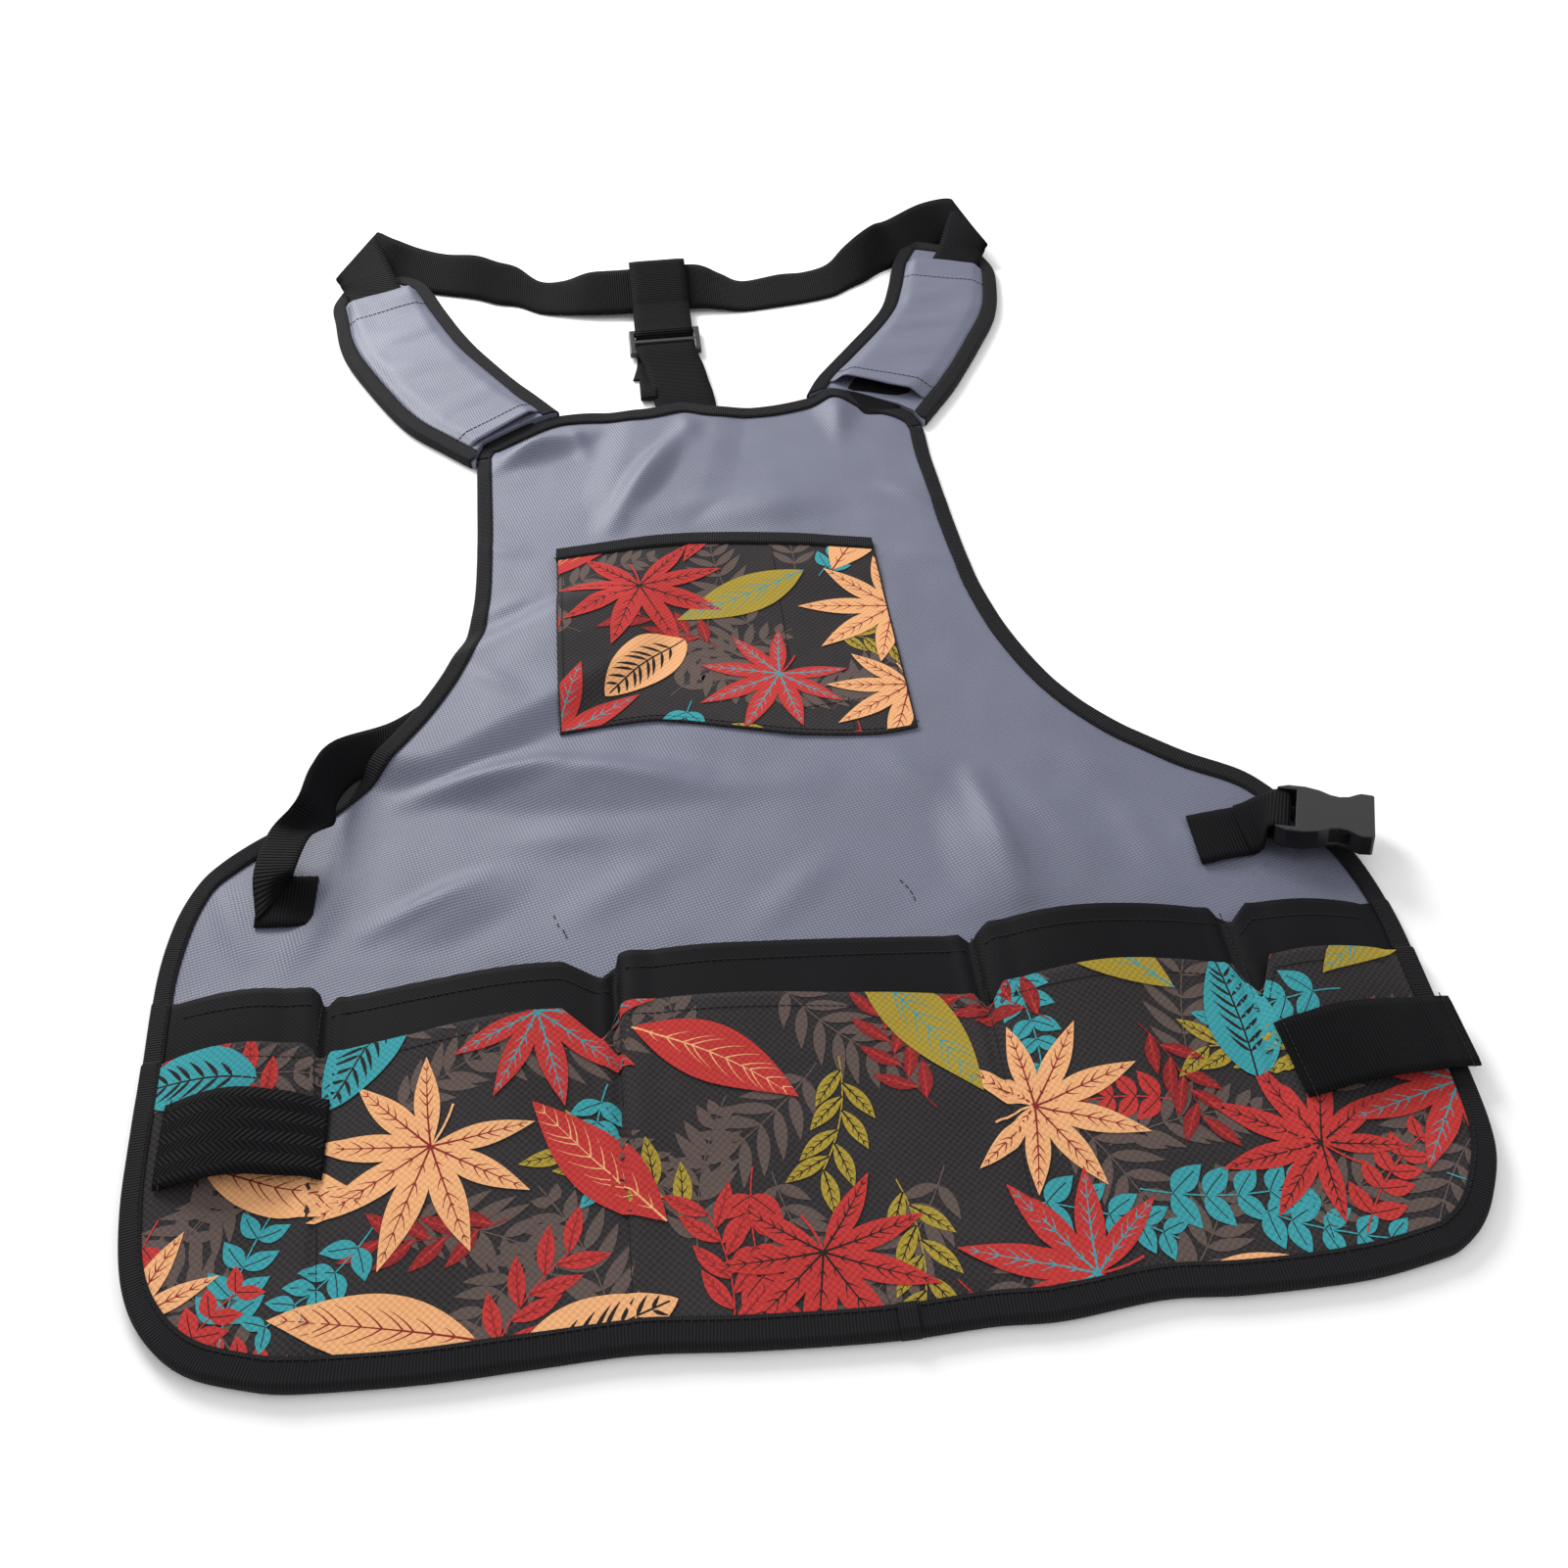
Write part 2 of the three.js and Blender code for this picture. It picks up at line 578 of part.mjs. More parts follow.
function chestPocket() {
  const outline = chestRows.map((row) => new THREE.Vector2(
    chestCentreX + row.across * chestWidth, chestCentreY + row.up * chestHeight));
  const top = outline.slice(7);
  const lowered = (points, drop) => points.map((point) => point.clone().setY(point.y - drop));
  const widened = (points) => points.map((point, i) => {
    if (i > 0 && i < points.length - 1) return point;
    return point.clone().setX(point.x + (i === 0 ? 1 : -1) * bindingWidth);
  });
  const pocket = cloth([...outline.slice(0, 7), ...lowered(top, 2 * gap + tapeWall)], chestLow, clothWall);
  const bandOutline = [...top, ...lowered(top, chestBandWidth).reverse()];
  const slotTop = widened(lowered(top, tapeWall));
  const slotOutline = [...slotTop, ...lowered(slotTop, 3 * chestBandWidth).reverse()];
  const band = shell(
    netOf(raised(chestLow, -gap - tapeWall)), netOf(raised(chestLow, clothWall + gap + tapeWall)));
  const slot = shell(netOf(raised(chestLow, -gap)), netOf(raised(chestLow, clothWall + gap)));
  const tape = band.intersect(prism(bandOutline, -1, 90))
    .subtract(slot.intersect(prism(slotOutline, -1, 90)));
  return [['chest_pocket', pocket], ['chest_pocket_band', tape]];
}

// A strip of webbing through pairs of edge points, its wall shared to both sides
function ribbon(stations, wall) {
  const middle = stations.map(([a, b]) => a.clone().add(b).multiplyScalar(0.5));
  const sides = stations.map(([a, b], i) => {
    const before = middle[Math.max(0, i - 1)];
    const after = middle[Math.min(middle.length - 1, i + 1)];
    const across = b.clone().sub(a);
    const normal = across.cross(after.clone().sub(before)).normalize();
    const push = (sign) => [a, b].map((p) => p.clone().addScaledVector(normal, sign * wall / 2));
    return { low: push(-1), high: push(1) };
  });
  return shell(sides.map((side) => side.low), sides.map((side) => side.high));
}

function loopHeightAt(x, y, mouth) {
  const onPrint = printLow(x, y, mouth) + layerStep;
  const share = (Math.abs(mouth) - 0.70) / (0.955 - 0.70);
  const bow = loopBow * Math.max(0, Math.sin(Math.PI * Math.min(1, Math.max(0, share))));
  const overBinding = (tapeWall + gap + 0.4) * smooth((mouth - 0.84) / 0.07);
  return onPrint + bow + overBinding;
}

function webbingLoop(rows) {
  const outline = rows.map((row) => new THREE.Vector2(
    row.across * skirtHalfWidth, leftLoopY + row.along * loopHeight));
  return cloth(outline, loopHeightAt, webbingWall);
}

function padEdge(rows, anchorX, side) {
  const toward = (x, y) => new THREE.Vector2(
    anchorX + side * x * padLength, padAnchorY + y * padLength);
  return rows.map((row) => ({ out: toward(row.outX, row.outY), inner: toward(row.inX, row.inY) }));
}

function shoulderPad(side, rows, anchorX, apron) {
  const edges = padEdge(rows, anchorX, side);
  let outline = [...edges.map((edge) => edge.out), ...edges.map((edge) => edge.inner).reverse()];
  if (side < 0) outline = outline.reverse();
  const clear = prism(grow(apron, 2 * gap + tapeWall), -2, 91);
  const padLow = clothBase;
  const padHigh = padLow + padThickness;
  const cloths = prism(outline, padLow, padHigh).subtract(clear);
  const tape = prism(grow(outline, gap + tapeWall), 0, padHigh + gap + tapeWall)
    .subtract(prism(grow(outline, -bindingWidth), -1, 90))
    .subtract(prism(grow(outline, gap), tapeWall, padHigh + gap))
    .subtract(clear);
  const sleeveLow = padHigh + gap;
  const mouthRow = edges.length - 2;
  const sleeveNet = (wall) => edges.slice(1, -1).map((edge, i) => {
    const width = edge.out.distanceTo(edge.inner);
    const nearMouth = i + 1 >= mouthRow - 1;
    const rim = Math.min(bindingWidth + 5 * gap, width / 2 - webbingWidth / 2 - 7 * gap) / width;
    const foot = sleeveLow + (nearMouth ? mouthRise : 0);
    const roof = sleeveLow + webbingWall + gap + (nearMouth ? mouthRise + gap : 0);
    const shoulder = Math.max(rim + 0.02, 0.5 - (webbingWidth / 2 + 3 * gap) / width);
    const section = [
      [rim, foot], [shoulder, roof], [0.5, roof + gap], [1 - shoulder, roof], [1 - rim, foot],
    ];
    return (side < 0 ? section : section.reverse()).map(([share, height]) => {
      const place = edge.out.clone().lerp(edge.inner, share);
      return at(place.x, place.y, height + wall);
    });
  });
  const sleeve = shell(sleeveNet(0), sleeveNet(clothWall)).subtract(clear);
  return { edges, cloths, tape, sleeve };
}

// The stretch of neck webbing that lies inside a sleeve, and its turn beyond the sleeve
function sleeveStations(pad) {
  const lie = clothBase + padThickness + gap + webbingWall / 2;
  return pad.edges.slice(2, -2).map(({ out, inner }, i, all) => {
    const height = lie + (i === all.length - 1 ? mouthRise : 0);
    const middle = out.clone().lerp(inner, 0.5);
    const reach = inner.clone().sub(out).setLength(webbingWidth / 2);
    const outEdge = middle.clone().sub(reach);
    const inEdge = middle.clone().add(reach);
    return [at(outEdge.x, outEdge.y, height), at(inEdge.x, inEdge.y, height)];
  });
}

function turnStations(pad, side, rows) {
  const mouth = pad.edges[pad.edges.length - 2];
  const anchor = mouth.out.clone().lerp(mouth.inner, 0.5);
  return rows.map((row) => [
    at(anchor.x + side * row.outX * webbingWidth, anchor.y + row.outY * webbingWidth,
      row.outZ * webbingWidth),
    at(anchor.x + side * row.inX * webbingWidth, anchor.y + row.inY * webbingWidth,
      row.inZ * webbingWidth),
  ]);
}

function neckStations() {
  const rest = webbingWall / 2 + gap;
  return neckRows.map((row) => {
    const lean = THREE.MathUtils.degToRad(row.lean);
    const x = row.across * skirtHalfWidth;
    const y = row.up * apronLength;
    const z = rest + row.lift * (webbingWall + gap);
    return [
      at(x, y + webbingWidth * Math.sin(lean), z + webbingWidth * Math.cos(lean)),
      at(x, y, z),
    ];
  });
}

function waistStations() {
  return waistRows.map((row) => [
    at(waistTabX + row.outX * slimWidth, waistTabY + row.outY * slimWidth, row.outZ * slimWidth),
    at(waistTabX + row.inX * slimWidth, waistTabY + row.inY * slimWidth, row.inZ * slimWidth),
  ]);
}

// A ring of webbing round a path in the Y-Z plane, as wide as the webbing across X
function webbingRing(path, inside, wall, fromX, toX) {
  const loop = (distance) => {
    const line = path.map(([y, z]) => new THREE.Vector2(y, z));
    const first = line[0].clone().sub(line[1]).setLength(distance);
    const last = line[line.length - 1].clone().sub(line[line.length - 2]).setLength(distance);
    const side = (sign) => line.map((point, i) => {
      const before = line[Math.max(0, i - 1)];
      const after = line[Math.min(line.length - 1, i + 1)];
      const run = after.clone().sub(before).setLength(distance);
      return point.clone().add(new THREE.Vector2(-run.y * sign, run.x * sign));
    });
    return [
      ...side(-1), line[line.length - 1].clone().add(last), ...side(1).reverse(), line[0].clone().add(first),
    ];
  };
  const shape = new THREE.Shape(loop(inside + wall));
  shape.holes.push(new THREE.Path(loop(inside)));
  const geometry = new THREE.ExtrudeGeometry(shape, { depth: toX - fromX, bevelEnabled: false });
  geometry.rotateX(Math.PI / 2);
  geometry.rotateZ(Math.PI / 2);
  geometry.translate(fromX, 0, 0);
  return solidOf(geometry);
}

// The back strap hangs on the neck webbing, runs through the slider and under the bib
function backStrap() {
  const inside = sliderThickness / 2 + gap / 2;
  const row = neckRows.find((each) => each.lift > 1.3);
  const lean = THREE.MathUtils.degToRad(row.lean);
  const lowY = row.up * apronLength;
  const lowZ = webbingWall / 2 + gap + row.lift * (webbingWall + gap);
  const overY = lowY + webbingWidth * Math.sin(lean);
  const overZ = lowZ + webbingWidth * Math.cos(lean);
  const upperBarY = lowY - backStrapDrop;
  const lowerBarY = upperBarY - sliderLength + 2 * sliderBar;
  const upper = webbingRing(
    [[upperBarY, lowZ], [lowY, lowZ], [overY + gap, overZ]], inside, webbingWall,
    backStrapX - webbingWidth / 2, backStrapX + webbingWidth / 2);
  const ringEnd = lowerBarY - 4 * sliderBar;
  const lowerRing = webbingRing(
    [[ringEnd, lowZ], [lowerBarY, lowZ]], inside, webbingWall,
    backStrapX - webbingWidth / 2, backStrapX + webbingWidth / 2);
  const run = backRunRows.map((each) => {
    const x = backStrapX + each.across * webbingWidth;
    const y = ringEnd - each.along * (ringEnd - backEndShare * apronLength);
    const z = webbingWall / 2 + gap + each.lift * (webbingWall + gap);
    return [at(x + webbingWidth / 2, y, z), at(x - webbingWidth / 2, y, z)];
  });
  const lower = lowerRing.add(ribbon(run, webbingWall));
  const frame = new THREE.Shape([
    [-1, -1], [1, -1], [1, 1], [-1, 1]].map(([x, y]) => new THREE.Vector2(
    x * (webbingWidth / 2 + gap + sliderBar), y * sliderLength / 2)));
  [-1, 1].forEach((sign) => {
    const near = sign * sliderBar / 2;
    const far = sign * (sliderLength / 2 - sliderBar);
    const wide = webbingWidth / 2 + gap;
    const slot = [[-wide, near], [wide, near], [wide, far], [-wide, far]];
    frame.holes.push(new THREE.Path(slot.map(([x, y]) => new THREE.Vector2(x, y))));
  });
  const plate = new THREE.ExtrudeGeometry(frame, {
    depth: sliderThickness - gap, bevelEnabled: false });
  plate.translate(backStrapX, (upperBarY + lowerBarY) / 2, lowZ - (sliderThickness - gap) / 2);
  return { upper, lower, slider: solidOf(plate) };
}

function waistTab() {
  const geometry = new THREE.BoxGeometry(tabLength, slimWidth, slimWall);
  geometry.translate(waistTabX, waistTabY, clothBase + clothWall + gap + slimWall / 2);
  return solidOf(geometry);
}

// The plug on the hidden end of the waist webbing: a block with three prongs
function waistPlug() {
  const [out, inner] = waistStations().at(-1);
  const middle = out.clone().lerp(inner, 0.5);
  const onward = inner.clone().sub(out).applyAxisAngle(at(0, 0, 1), Math.PI / 2);
  const outline = plugRows.map((row) => new THREE.Vector2(
    row.along * plugLength + 2 * gap, row.across * slimWidth));
  const geometry = new THREE.ExtrudeGeometry(new THREE.Shape(outline), {
    depth: plugThickness, bevelEnabled: false });
  geometry.rotateZ(Math.atan2(onward.y, onward.x));
  geometry.translate(middle.x, middle.y, gap);
  return solidOf(geometry);
}

// Places a point of the socket, given along its length, across it and up
function socketPlace() {
  const turn = new THREE.Euler(
    THREE.MathUtils.degToRad(socketRoll), THREE.MathUtils.degToRad(socketPitch),
    THREE.MathUtils.degToRad(socketYaw), 'ZYX');
  const matrix = new THREE.Matrix4().makeRotationFromEuler(turn);
  matrix.setPosition(socketX, socketY, socketZ);
  return matrix;
}

function buckleSocket() {
  const block = (x0, x1, width, height) => {
    const geometry = new THREE.BoxGeometry(x1 - x0, width, height);
    geometry.translate((x0 + x1) / 2, 0, 0);
    return solidOf(geometry);
  };
  const outline = socketRows.map((row) => [row.along * socketLength, row.half * socketWidth]);
  const round = [...outline, ...outline.map(([x, y]) => [x, -y]).reverse()].reverse();
  const hull = new THREE.ExtrudeGeometry(
    new THREE.Shape(round.map(([x, y]) => new THREE.Vector2(x, y))),
    { depth: socketThickness, bevelEnabled: false });
  hull.translate(0, 0, -socketThickness / 2);
  const slotWidth = slimWidth + 2 * gap;
  const slotEnd = socketBar / 2 + 2 * slimWall + 4 * gap;
  const solid = solidOf(hull)
    .subtract(block(socketBar / 2, slotEnd, slotWidth, 2 * socketThickness))
    .subtract(block(slotEnd + socketWall, 2 * socketLength, socketMouth, socketCavity))
    .subtract(block(0.52 * socketLength, 0.74 * socketLength, 2 * socketWidth, socketCavity))
    .subtract(block(-socketLength, socketBar / 2, slotWidth, 2 * socketThickness))
    .add(block(-socketBar / 2, socketBar / 2, slotWidth + 2 * gap, socketBar));
  return solid.transform(socketPlace().elements);
}

// The right-hand webbing goes up from the cloth, round the socket's bar and back down
function buckleTab() {
  const place = socketPlace();
  const half = slimWidth / 2;
  const lie = clothBase + clothWall + gap + slimWall / 2;
  const flat = (x, z) => [at(x, socketY + half, z), at(x, socketY - half, z)];
  const round = (x, z) => [
    at(x, half, z).applyMatrix4(place), at(x, -half, z).applyMatrix4(place)];
  const turn = socketBar / 2 + 1.3 * gap + slimWall / 2;
  const back = slimWall + gap;
  return ribbon([
    flat(socketX - tabReach, lie),
    flat(socketX - 0.62 * tabReach, lie),
    round(-3.2 * turn, -turn),
    round(-0.3 * turn, -1.15 * turn),
    round(0.85 * turn, -0.8 * turn),
    round(1.15 * turn, 0),
    round(0.85 * turn, 0.8 * turn),
    round(-0.3 * turn, 1.15 * turn),
    round(-3.2 * turn, turn),
    flat(socketX - 0.60 * tabReach, lie + back + gap),
    flat(socketX - 0.94 * tabReach, lie + back),
  ], slimWall);
}

const apronEdge = apronOutline();
const group = new THREE.Group();
const add = (name, solid, look) => group.add(meshOf(name, solid, look));

add('body_panel', cloth(apronEdge, bodyLow, clothWall), finish.greyCloth);
add('dark_pockets', lowerPocket(apronEdge, darkLow, darkPocketDepth), finish.darkCloth);
add('print_pockets', lowerPocket(apronEdge, printLow, printPocketDepth), finish.printCloth);
bindings(apronEdge).forEach(([name, solid]) => add(name, solid, finish.tape));
chestPocket().forEach(([name, solid]) => (
  add(name, solid, name === 'chest_pocket' ? finish.printCloth : finish.tape)));
add('left_tool_loop', webbingLoop(leftLoopRows), finish.webbing);
add('right_tool_loop', webbingLoop(rightLoopRows), finish.webbing);

const leftPad = shoulderPad(-1, leftPadRows, leftPadX, apronEdge);
const rightPad = shoulderPad(1, rightPadRows, rightPadX, apronEdge);
[['left', leftPad], ['right', rightPad]].forEach(([side, pad]) => {
  add(`${side}_pad`, pad.cloths, finish.greyCloth);
  add(`${side}_pad_binding`, pad.tape, finish.tape);
  add(`${side}_pad_sleeve`, pad.sleeve, finish.greyCloth);
});

const neckRoute = [
  ...sleeveStations(leftPad),
  ...turnStations(leftPad, -1, leftTurnRows),
  ...neckStations(),
  ...turnStations(rightPad, 1, rightTurnRows).reverse(),
  ...sleeveStations(rightPad).reverse(),
];
add('neck_strap', ribbon(neckRoute, webbingWall), finish.webbing);
const back = backStrap();
add('back_strap_loop', back.upper, finish.webbing);
add('back_slider', back.slider, finish.plastic);
add('back_strap', back.lower, finish.webbing);
add('waist_tab', waistTab(), finish.webbing);
add('waist_strap', ribbon(waistStations(), slimWall), finish.webbing);
add('waist_plug', waistPlug(), finish.plastic);
add('buckle_socket', buckleSocket(), finish.plastic);
add('buckle_tab', buckleTab(), finish.webbing);

const box = new THREE.Box3().setFromObject(group);
group.position.set(-(box.min.x + box.max.x) / 2, -(box.min.y + box.max.y) / 2, -box.min.z);

export default group;
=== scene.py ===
import math
import random

import bmesh
import bpy
from mathutils import Matrix, Vector, noise


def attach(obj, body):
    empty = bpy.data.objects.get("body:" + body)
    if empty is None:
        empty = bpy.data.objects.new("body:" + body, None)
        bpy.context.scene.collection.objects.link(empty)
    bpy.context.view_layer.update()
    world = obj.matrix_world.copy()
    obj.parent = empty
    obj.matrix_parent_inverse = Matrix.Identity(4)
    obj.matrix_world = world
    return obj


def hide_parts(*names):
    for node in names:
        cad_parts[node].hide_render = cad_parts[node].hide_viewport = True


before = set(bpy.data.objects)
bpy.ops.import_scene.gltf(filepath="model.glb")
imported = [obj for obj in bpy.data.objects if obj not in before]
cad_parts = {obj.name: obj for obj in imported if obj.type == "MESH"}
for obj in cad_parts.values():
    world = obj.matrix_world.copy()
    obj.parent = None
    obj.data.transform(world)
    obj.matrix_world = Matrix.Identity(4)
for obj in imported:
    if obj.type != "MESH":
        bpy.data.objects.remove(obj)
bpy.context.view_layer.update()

# Everything below is in millimetres, with x = 0 in the middle of the hem and y = 0 at its edge.
# planShift moves that to the frame's own middle.
planShift = (-5.669, -450.019)
apron = {"halfWidth": 268.0, "length": 634.0, "clothWall": 1.0}
pocketDepths = {"print": 152.0, "dark": 186.0}
layerStep = 1.5
clothBase = 1.3


def toFrame(x, y, z):
    z = max(0.02, z)
    return Vector(((x + planShift[0]) / 1000, (y + planShift[1]) / 1000, z / 1000))


def toLinear(hexColour):
    channels = [int(hexColour[i:i + 2], 16) / 255 for i in (1, 3, 5)]
    linear = [c / 12.92 if c <= 0.04045 else ((c + 0.055) / 1.055) ** 2.4 for c in channels]
    return (*linear, 1.0)


def smooth(share):
    share = min(1.0, max(0.0, share))
    return share * share * (3 - 2 * share)


def lerp(a, b, t):
    return a + (b - a) * t


def valueAt(rows, x):
    # Straight lines between (x, value) rows
    if x <= rows[0][0]:
        return rows[0][1]
    for (x0, v0), (x1, v1) in zip(rows, rows[1:]):
        if x <= x1:
            return lerp(v0, v1, (x - x0) / (x1 - x0))
    return rows[-1][1]


def around(points, i):
    # A point and the next one, between their neighbours
    return [points[k] for k in (max(0, i - 1), i, i + 1, min(len(points) - 1, i + 2))]


def curvePoint(p0, p1, p2, p3, t):
    # A share of the way from the second point to the third, on a curve through all four
    return 0.5 * (2 * p1 + (p2 - p0) * t + (2 * p0 - 5 * p1 + 4 * p2 - p3) * t * t
                  + (3 * p1 - p0 - 3 * p2 + p3) * t ** 3)


def smoothLine(points, spacing):
    # A curve through the points, cut into steps of about the spacing
    points = [Vector(p) for p in points]
    line = []
    for i in range(len(points) - 1):
        near = around(points, i)
        steps = max(1, round((near[2] - near[1]).length / spacing))
        line += [curvePoint(*near, k / steps) for k in range(steps)]
    return line + [points[-1]]


def evenly(line, count):
    # The line again, as count points the same distance apart
    lengths = [0.0]
    for a, b in zip(line, line[1:]):
        lengths.append(lengths[-1] + (b - a).length)
    result = []
    k = 0
    for i in range(count):
        goal = lengths[-1] * i / (count - 1)
        while k < len(line) - 2 and lengths[k + 1] < goal:
            k += 1
        step = max(1e-9, lengths[k + 1] - lengths[k])
        result.append(line[k].lerp(line[k + 1], (goal - lengths[k]) / step))
    return result


def placed(name, data):
    # An object of its own in the scene
    obj = bpy.data.objects.new(name, data)
    bpy.context.scene.collection.objects.link(obj)
    return obj


def meshWithModifiers(obj):
    graph = bpy.context.evaluated_depsgraph_get()
    return bpy.data.meshes.new_from_object(obj.evaluated_get(graph))


def reworked(mesh, work):
    # Changes a mesh through an editable copy
    net = bmesh.new()
    net.from_mesh(mesh)
    work(net)
    net.to_mesh(mesh)
    net.free()


def facingOut(obj):
    reworked(obj.data, lambda net: bmesh.ops.recalc_face_normals(net, faces=net.faces))


# One node with its settings and links
def addNode(tree, kind, settings=None, inputs=None):
    node = tree.nodes.new(kind)
    for key, value in (settings or {}).items():
        setattr(node, key, value)
    for key, value in (inputs or {}).items():
        socket = node.inputs[key]
        if isinstance(value, bpy.types.NodeSocket):
            tree.links.new(value, socket)
        else:
            socket.default_value = value
    return node


def addMath(tree, operation, *values):
    return addNode(tree, "ShaderNodeMath", {"operation": operation}, dict(enumerate(values))).outputs[0]


def newMaterial(name, roughness, specular):
    material = bpy.data.materials.new(name)
    material.use_nodes = True
    shader = material.node_tree.nodes["Principled BSDF"]
    shader.inputs["Roughness"].default_value = roughness
    shader.inputs["Specular IOR Level"].default_value = specular
    return material, material.node_tree, shader


def plainMaterial(name, colour, roughness, specular=0.5):
    material, _, shader = newMaterial(name, roughness, specular)
    shader.inputs["Base Color"].default_value = toLinear(colour)
    return material


def scaledCoords(tree, scale, turn=0.0):
    coords = addNode(tree, "ShaderNodeUVMap", {"uv_map": "sewing"})
    mapping = addNode(tree, "ShaderNodeMapping", {}, {
        "Vector": coords.outputs["UV"], "Scale": (scale, scale, scale), "Rotation": (0, 0, turn)})
    return mapping.outputs["Vector"]


def splitCoords(tree, scale, turn=0.0):
    # The place along the sewn piece and across it
    parts = addNode(tree, "ShaderNodeSeparateXYZ", {}, {"Vector": scaledCoords(tree, scale, turn)})
    return parts.outputs["X"], parts.outputs["Y"]


def addNoise(tree, scale, detail, roughness=0.5):
    node = addNode(tree, "ShaderNodeTexNoise", {}, {
        "Vector": scaledCoords(tree, scale), "Scale": 1.0, "Detail": detail, "Roughness": roughness})
    return node.outputs["Fac"]


def addColours(tree, shader, value, span, light, dark):
    # From dark to light as the value goes from one end of the span to the other
    factor = addNode(tree, "ShaderNodeMapRange", {}, {
        "Value": value, "From Min": span[0], "From Max": span[1]})
    mix = addNode(tree, "ShaderNodeMix", {"data_type": "RGBA"}, {
        0: factor.outputs["Result"], 6: toLinear(dark), 7: toLinear(light)})
    tree.links.new(mix.outputs[2], shader.inputs["Base Color"])


def addRelief(tree, shader, height, strength, depth):
    bump = addNode(tree, "ShaderNodeBump", {}, {
        "Height": height, "Strength": strength, "Distance": depth / 1000})
    tree.links.new(bump.outputs["Normal"], shader.inputs["Normal"])


# Woven cloth: threads each way, as two waves across each other, and slow uneven shading
clothLook = {
    "greyLight": "#6c6f82", "greyDark": "#565969", "greyThread": 1.1,
    "darkLight": "#141417", "darkDark": "#0a0a0c", "darkThread": 1.0,
    "printLight": "#393537", "printDark": "#1f1d1e", "printThread": 1.5,
    "slub": 0.6, "patch": 0.018, "span": (0.42, 0.95), "relief": 0.6,
}


def wovenCloth(name, light, dark, thread, roughness, specular, depth, turn=0.0):
    material, tree, shader = newMaterial(name, roughness, specular)
    waves = [addMath(tree, "SINE", part) for part in splitCoords(tree, math.pi / thread, turn)]
    weave = addMath(tree, "MULTIPLY", *waves)
    patches = addMath(tree, "MULTIPLY_ADD", addNoise(tree, clothLook["patch"], 3.0), 0.4, 0.3)
    shade = addMath(tree, "MULTIPLY_ADD", weave, 0.22, patches)
    shade = addMath(tree, "MULTIPLY_ADD", addNoise(tree, clothLook["slub"], 4.0, 0.7), 0.5, shade)
    addColours(tree, shader, shade, clothLook["span"], light, dark)
    addRelief(tree, shader, weave, clothLook["relief"], depth)
    return material


# Ribbed tape: ribs across its length, about one millimetre apart
tapeLook = {"light": "#252528", "dark": "#131315", "rib": 1.25, "span": (-1.0, 1.2), "depth": 0.35}


def ribbedTape(name):
    material, tree, shader = newMaterial(name, 0.75, 0.12)
    along, _ = splitCoords(tree, 2 * math.pi / tapeLook["rib"])
    wave = addMath(tree, "SINE", along)
    addColours(tree, shader, wave, tapeLook["span"], tapeLook["light"], tapeLook["dark"])
    addRelief(tree, shader, wave, 0.8, tapeLook["depth"])
    return material


# Woven webbing: slanted ribs that turn back at each lane, which gives the herringbone
webbingLook = {"light": "#17171a", "dark": "#09090b", "span": (-1.0, 1.3), "depth": 0.4}


def wovenWebbing(name, rib, lane, slant):
    material, tree, shader = newMaterial(name, 0.7, 0.08)
    along, across = splitCoords(tree, 1.0)
    lanes = addMath(tree, "PINGPONG", across, lane)
    slanted = addMath(tree, "MULTIPLY_ADD", lanes, slant, along)
    wave = addMath(tree, "SINE", addMath(tree, "MULTIPLY", slanted, 2 * math.pi / rib))
    addColours(tree, shader, wave, webbingLook["span"], webbingLook["light"], webbingLook["dark"])
    addRelief(tree, shader, wave, 0.8, webbingLook["depth"])
    return material


# Coated polyester oxford: blue grey, close weave, slightly shiny
oxford = wovenCloth("coated_oxford_grey", clothLook["greyLight"], clothLook["greyDark"],
                    clothLook["greyThread"], 0.5, 0.42, 0.15, 0.5)
# Plain black nylon: finer, duller
nylon = wovenCloth("plain_nylon_black", clothLook["darkLight"], clothLook["darkDark"],
                   clothLook["darkThread"], 0.7, 0.1, 0.08)
# Printed cotton canvas: charcoal ground with a coarse plain weave
canvas = wovenCloth("printed_canvas_charcoal", clothLook["printLight"], clothLook["printDark"],
                    clothLook["printThread"], 0.85, 0.12, 0.15)
tape = ribbedTape("ribbed_polyester_tape")
# Polypropylene webbing: coarse herringbone on the left tool loop, fine ribs elsewhere
coarseWebbing = wovenWebbing("herringbone_webbing", 2.6, 4.75, 1.0)
fineWebbing = wovenWebbing("fine_rib_webbing", 1.5, 38.0, 0.0)
# Acetal: moulded, dark, satin with soft highlights
acetal = plainMaterial("moulded_acetal_black", "#101013", 0.3)
# Polyester sewing thread, matt
blackThread = plainMaterial("polyester_thread_black", "#050506", 0.9)


def meshFrom(name, points, faces, uvs, material):
    # points are in millimetres, faces are loops of indices, uvs are one pair per point
    mesh = bpy.data.meshes.new(name)
    mesh.from_pydata([toFrame(*p) for p in points], [], faces)
    layer = mesh.uv_layers.new(name="sewing")
    indices = [0] * len(mesh.loops)
    mesh.loops.foreach_get("vertex_index", indices)
    flat = [0.0] * (2 * len(indices))
    for k, i in enumerate(indices):
        flat[2 * k], flat[2 * k + 1] = uvs[i]
    layer.data.foreach_set("uv", flat)
    mesh.materials.append(material)
    mesh.polygons.foreach_set("use_smooth", [True] * len(mesh.polygons))
    mesh.update()
    return placed(name, mesh)


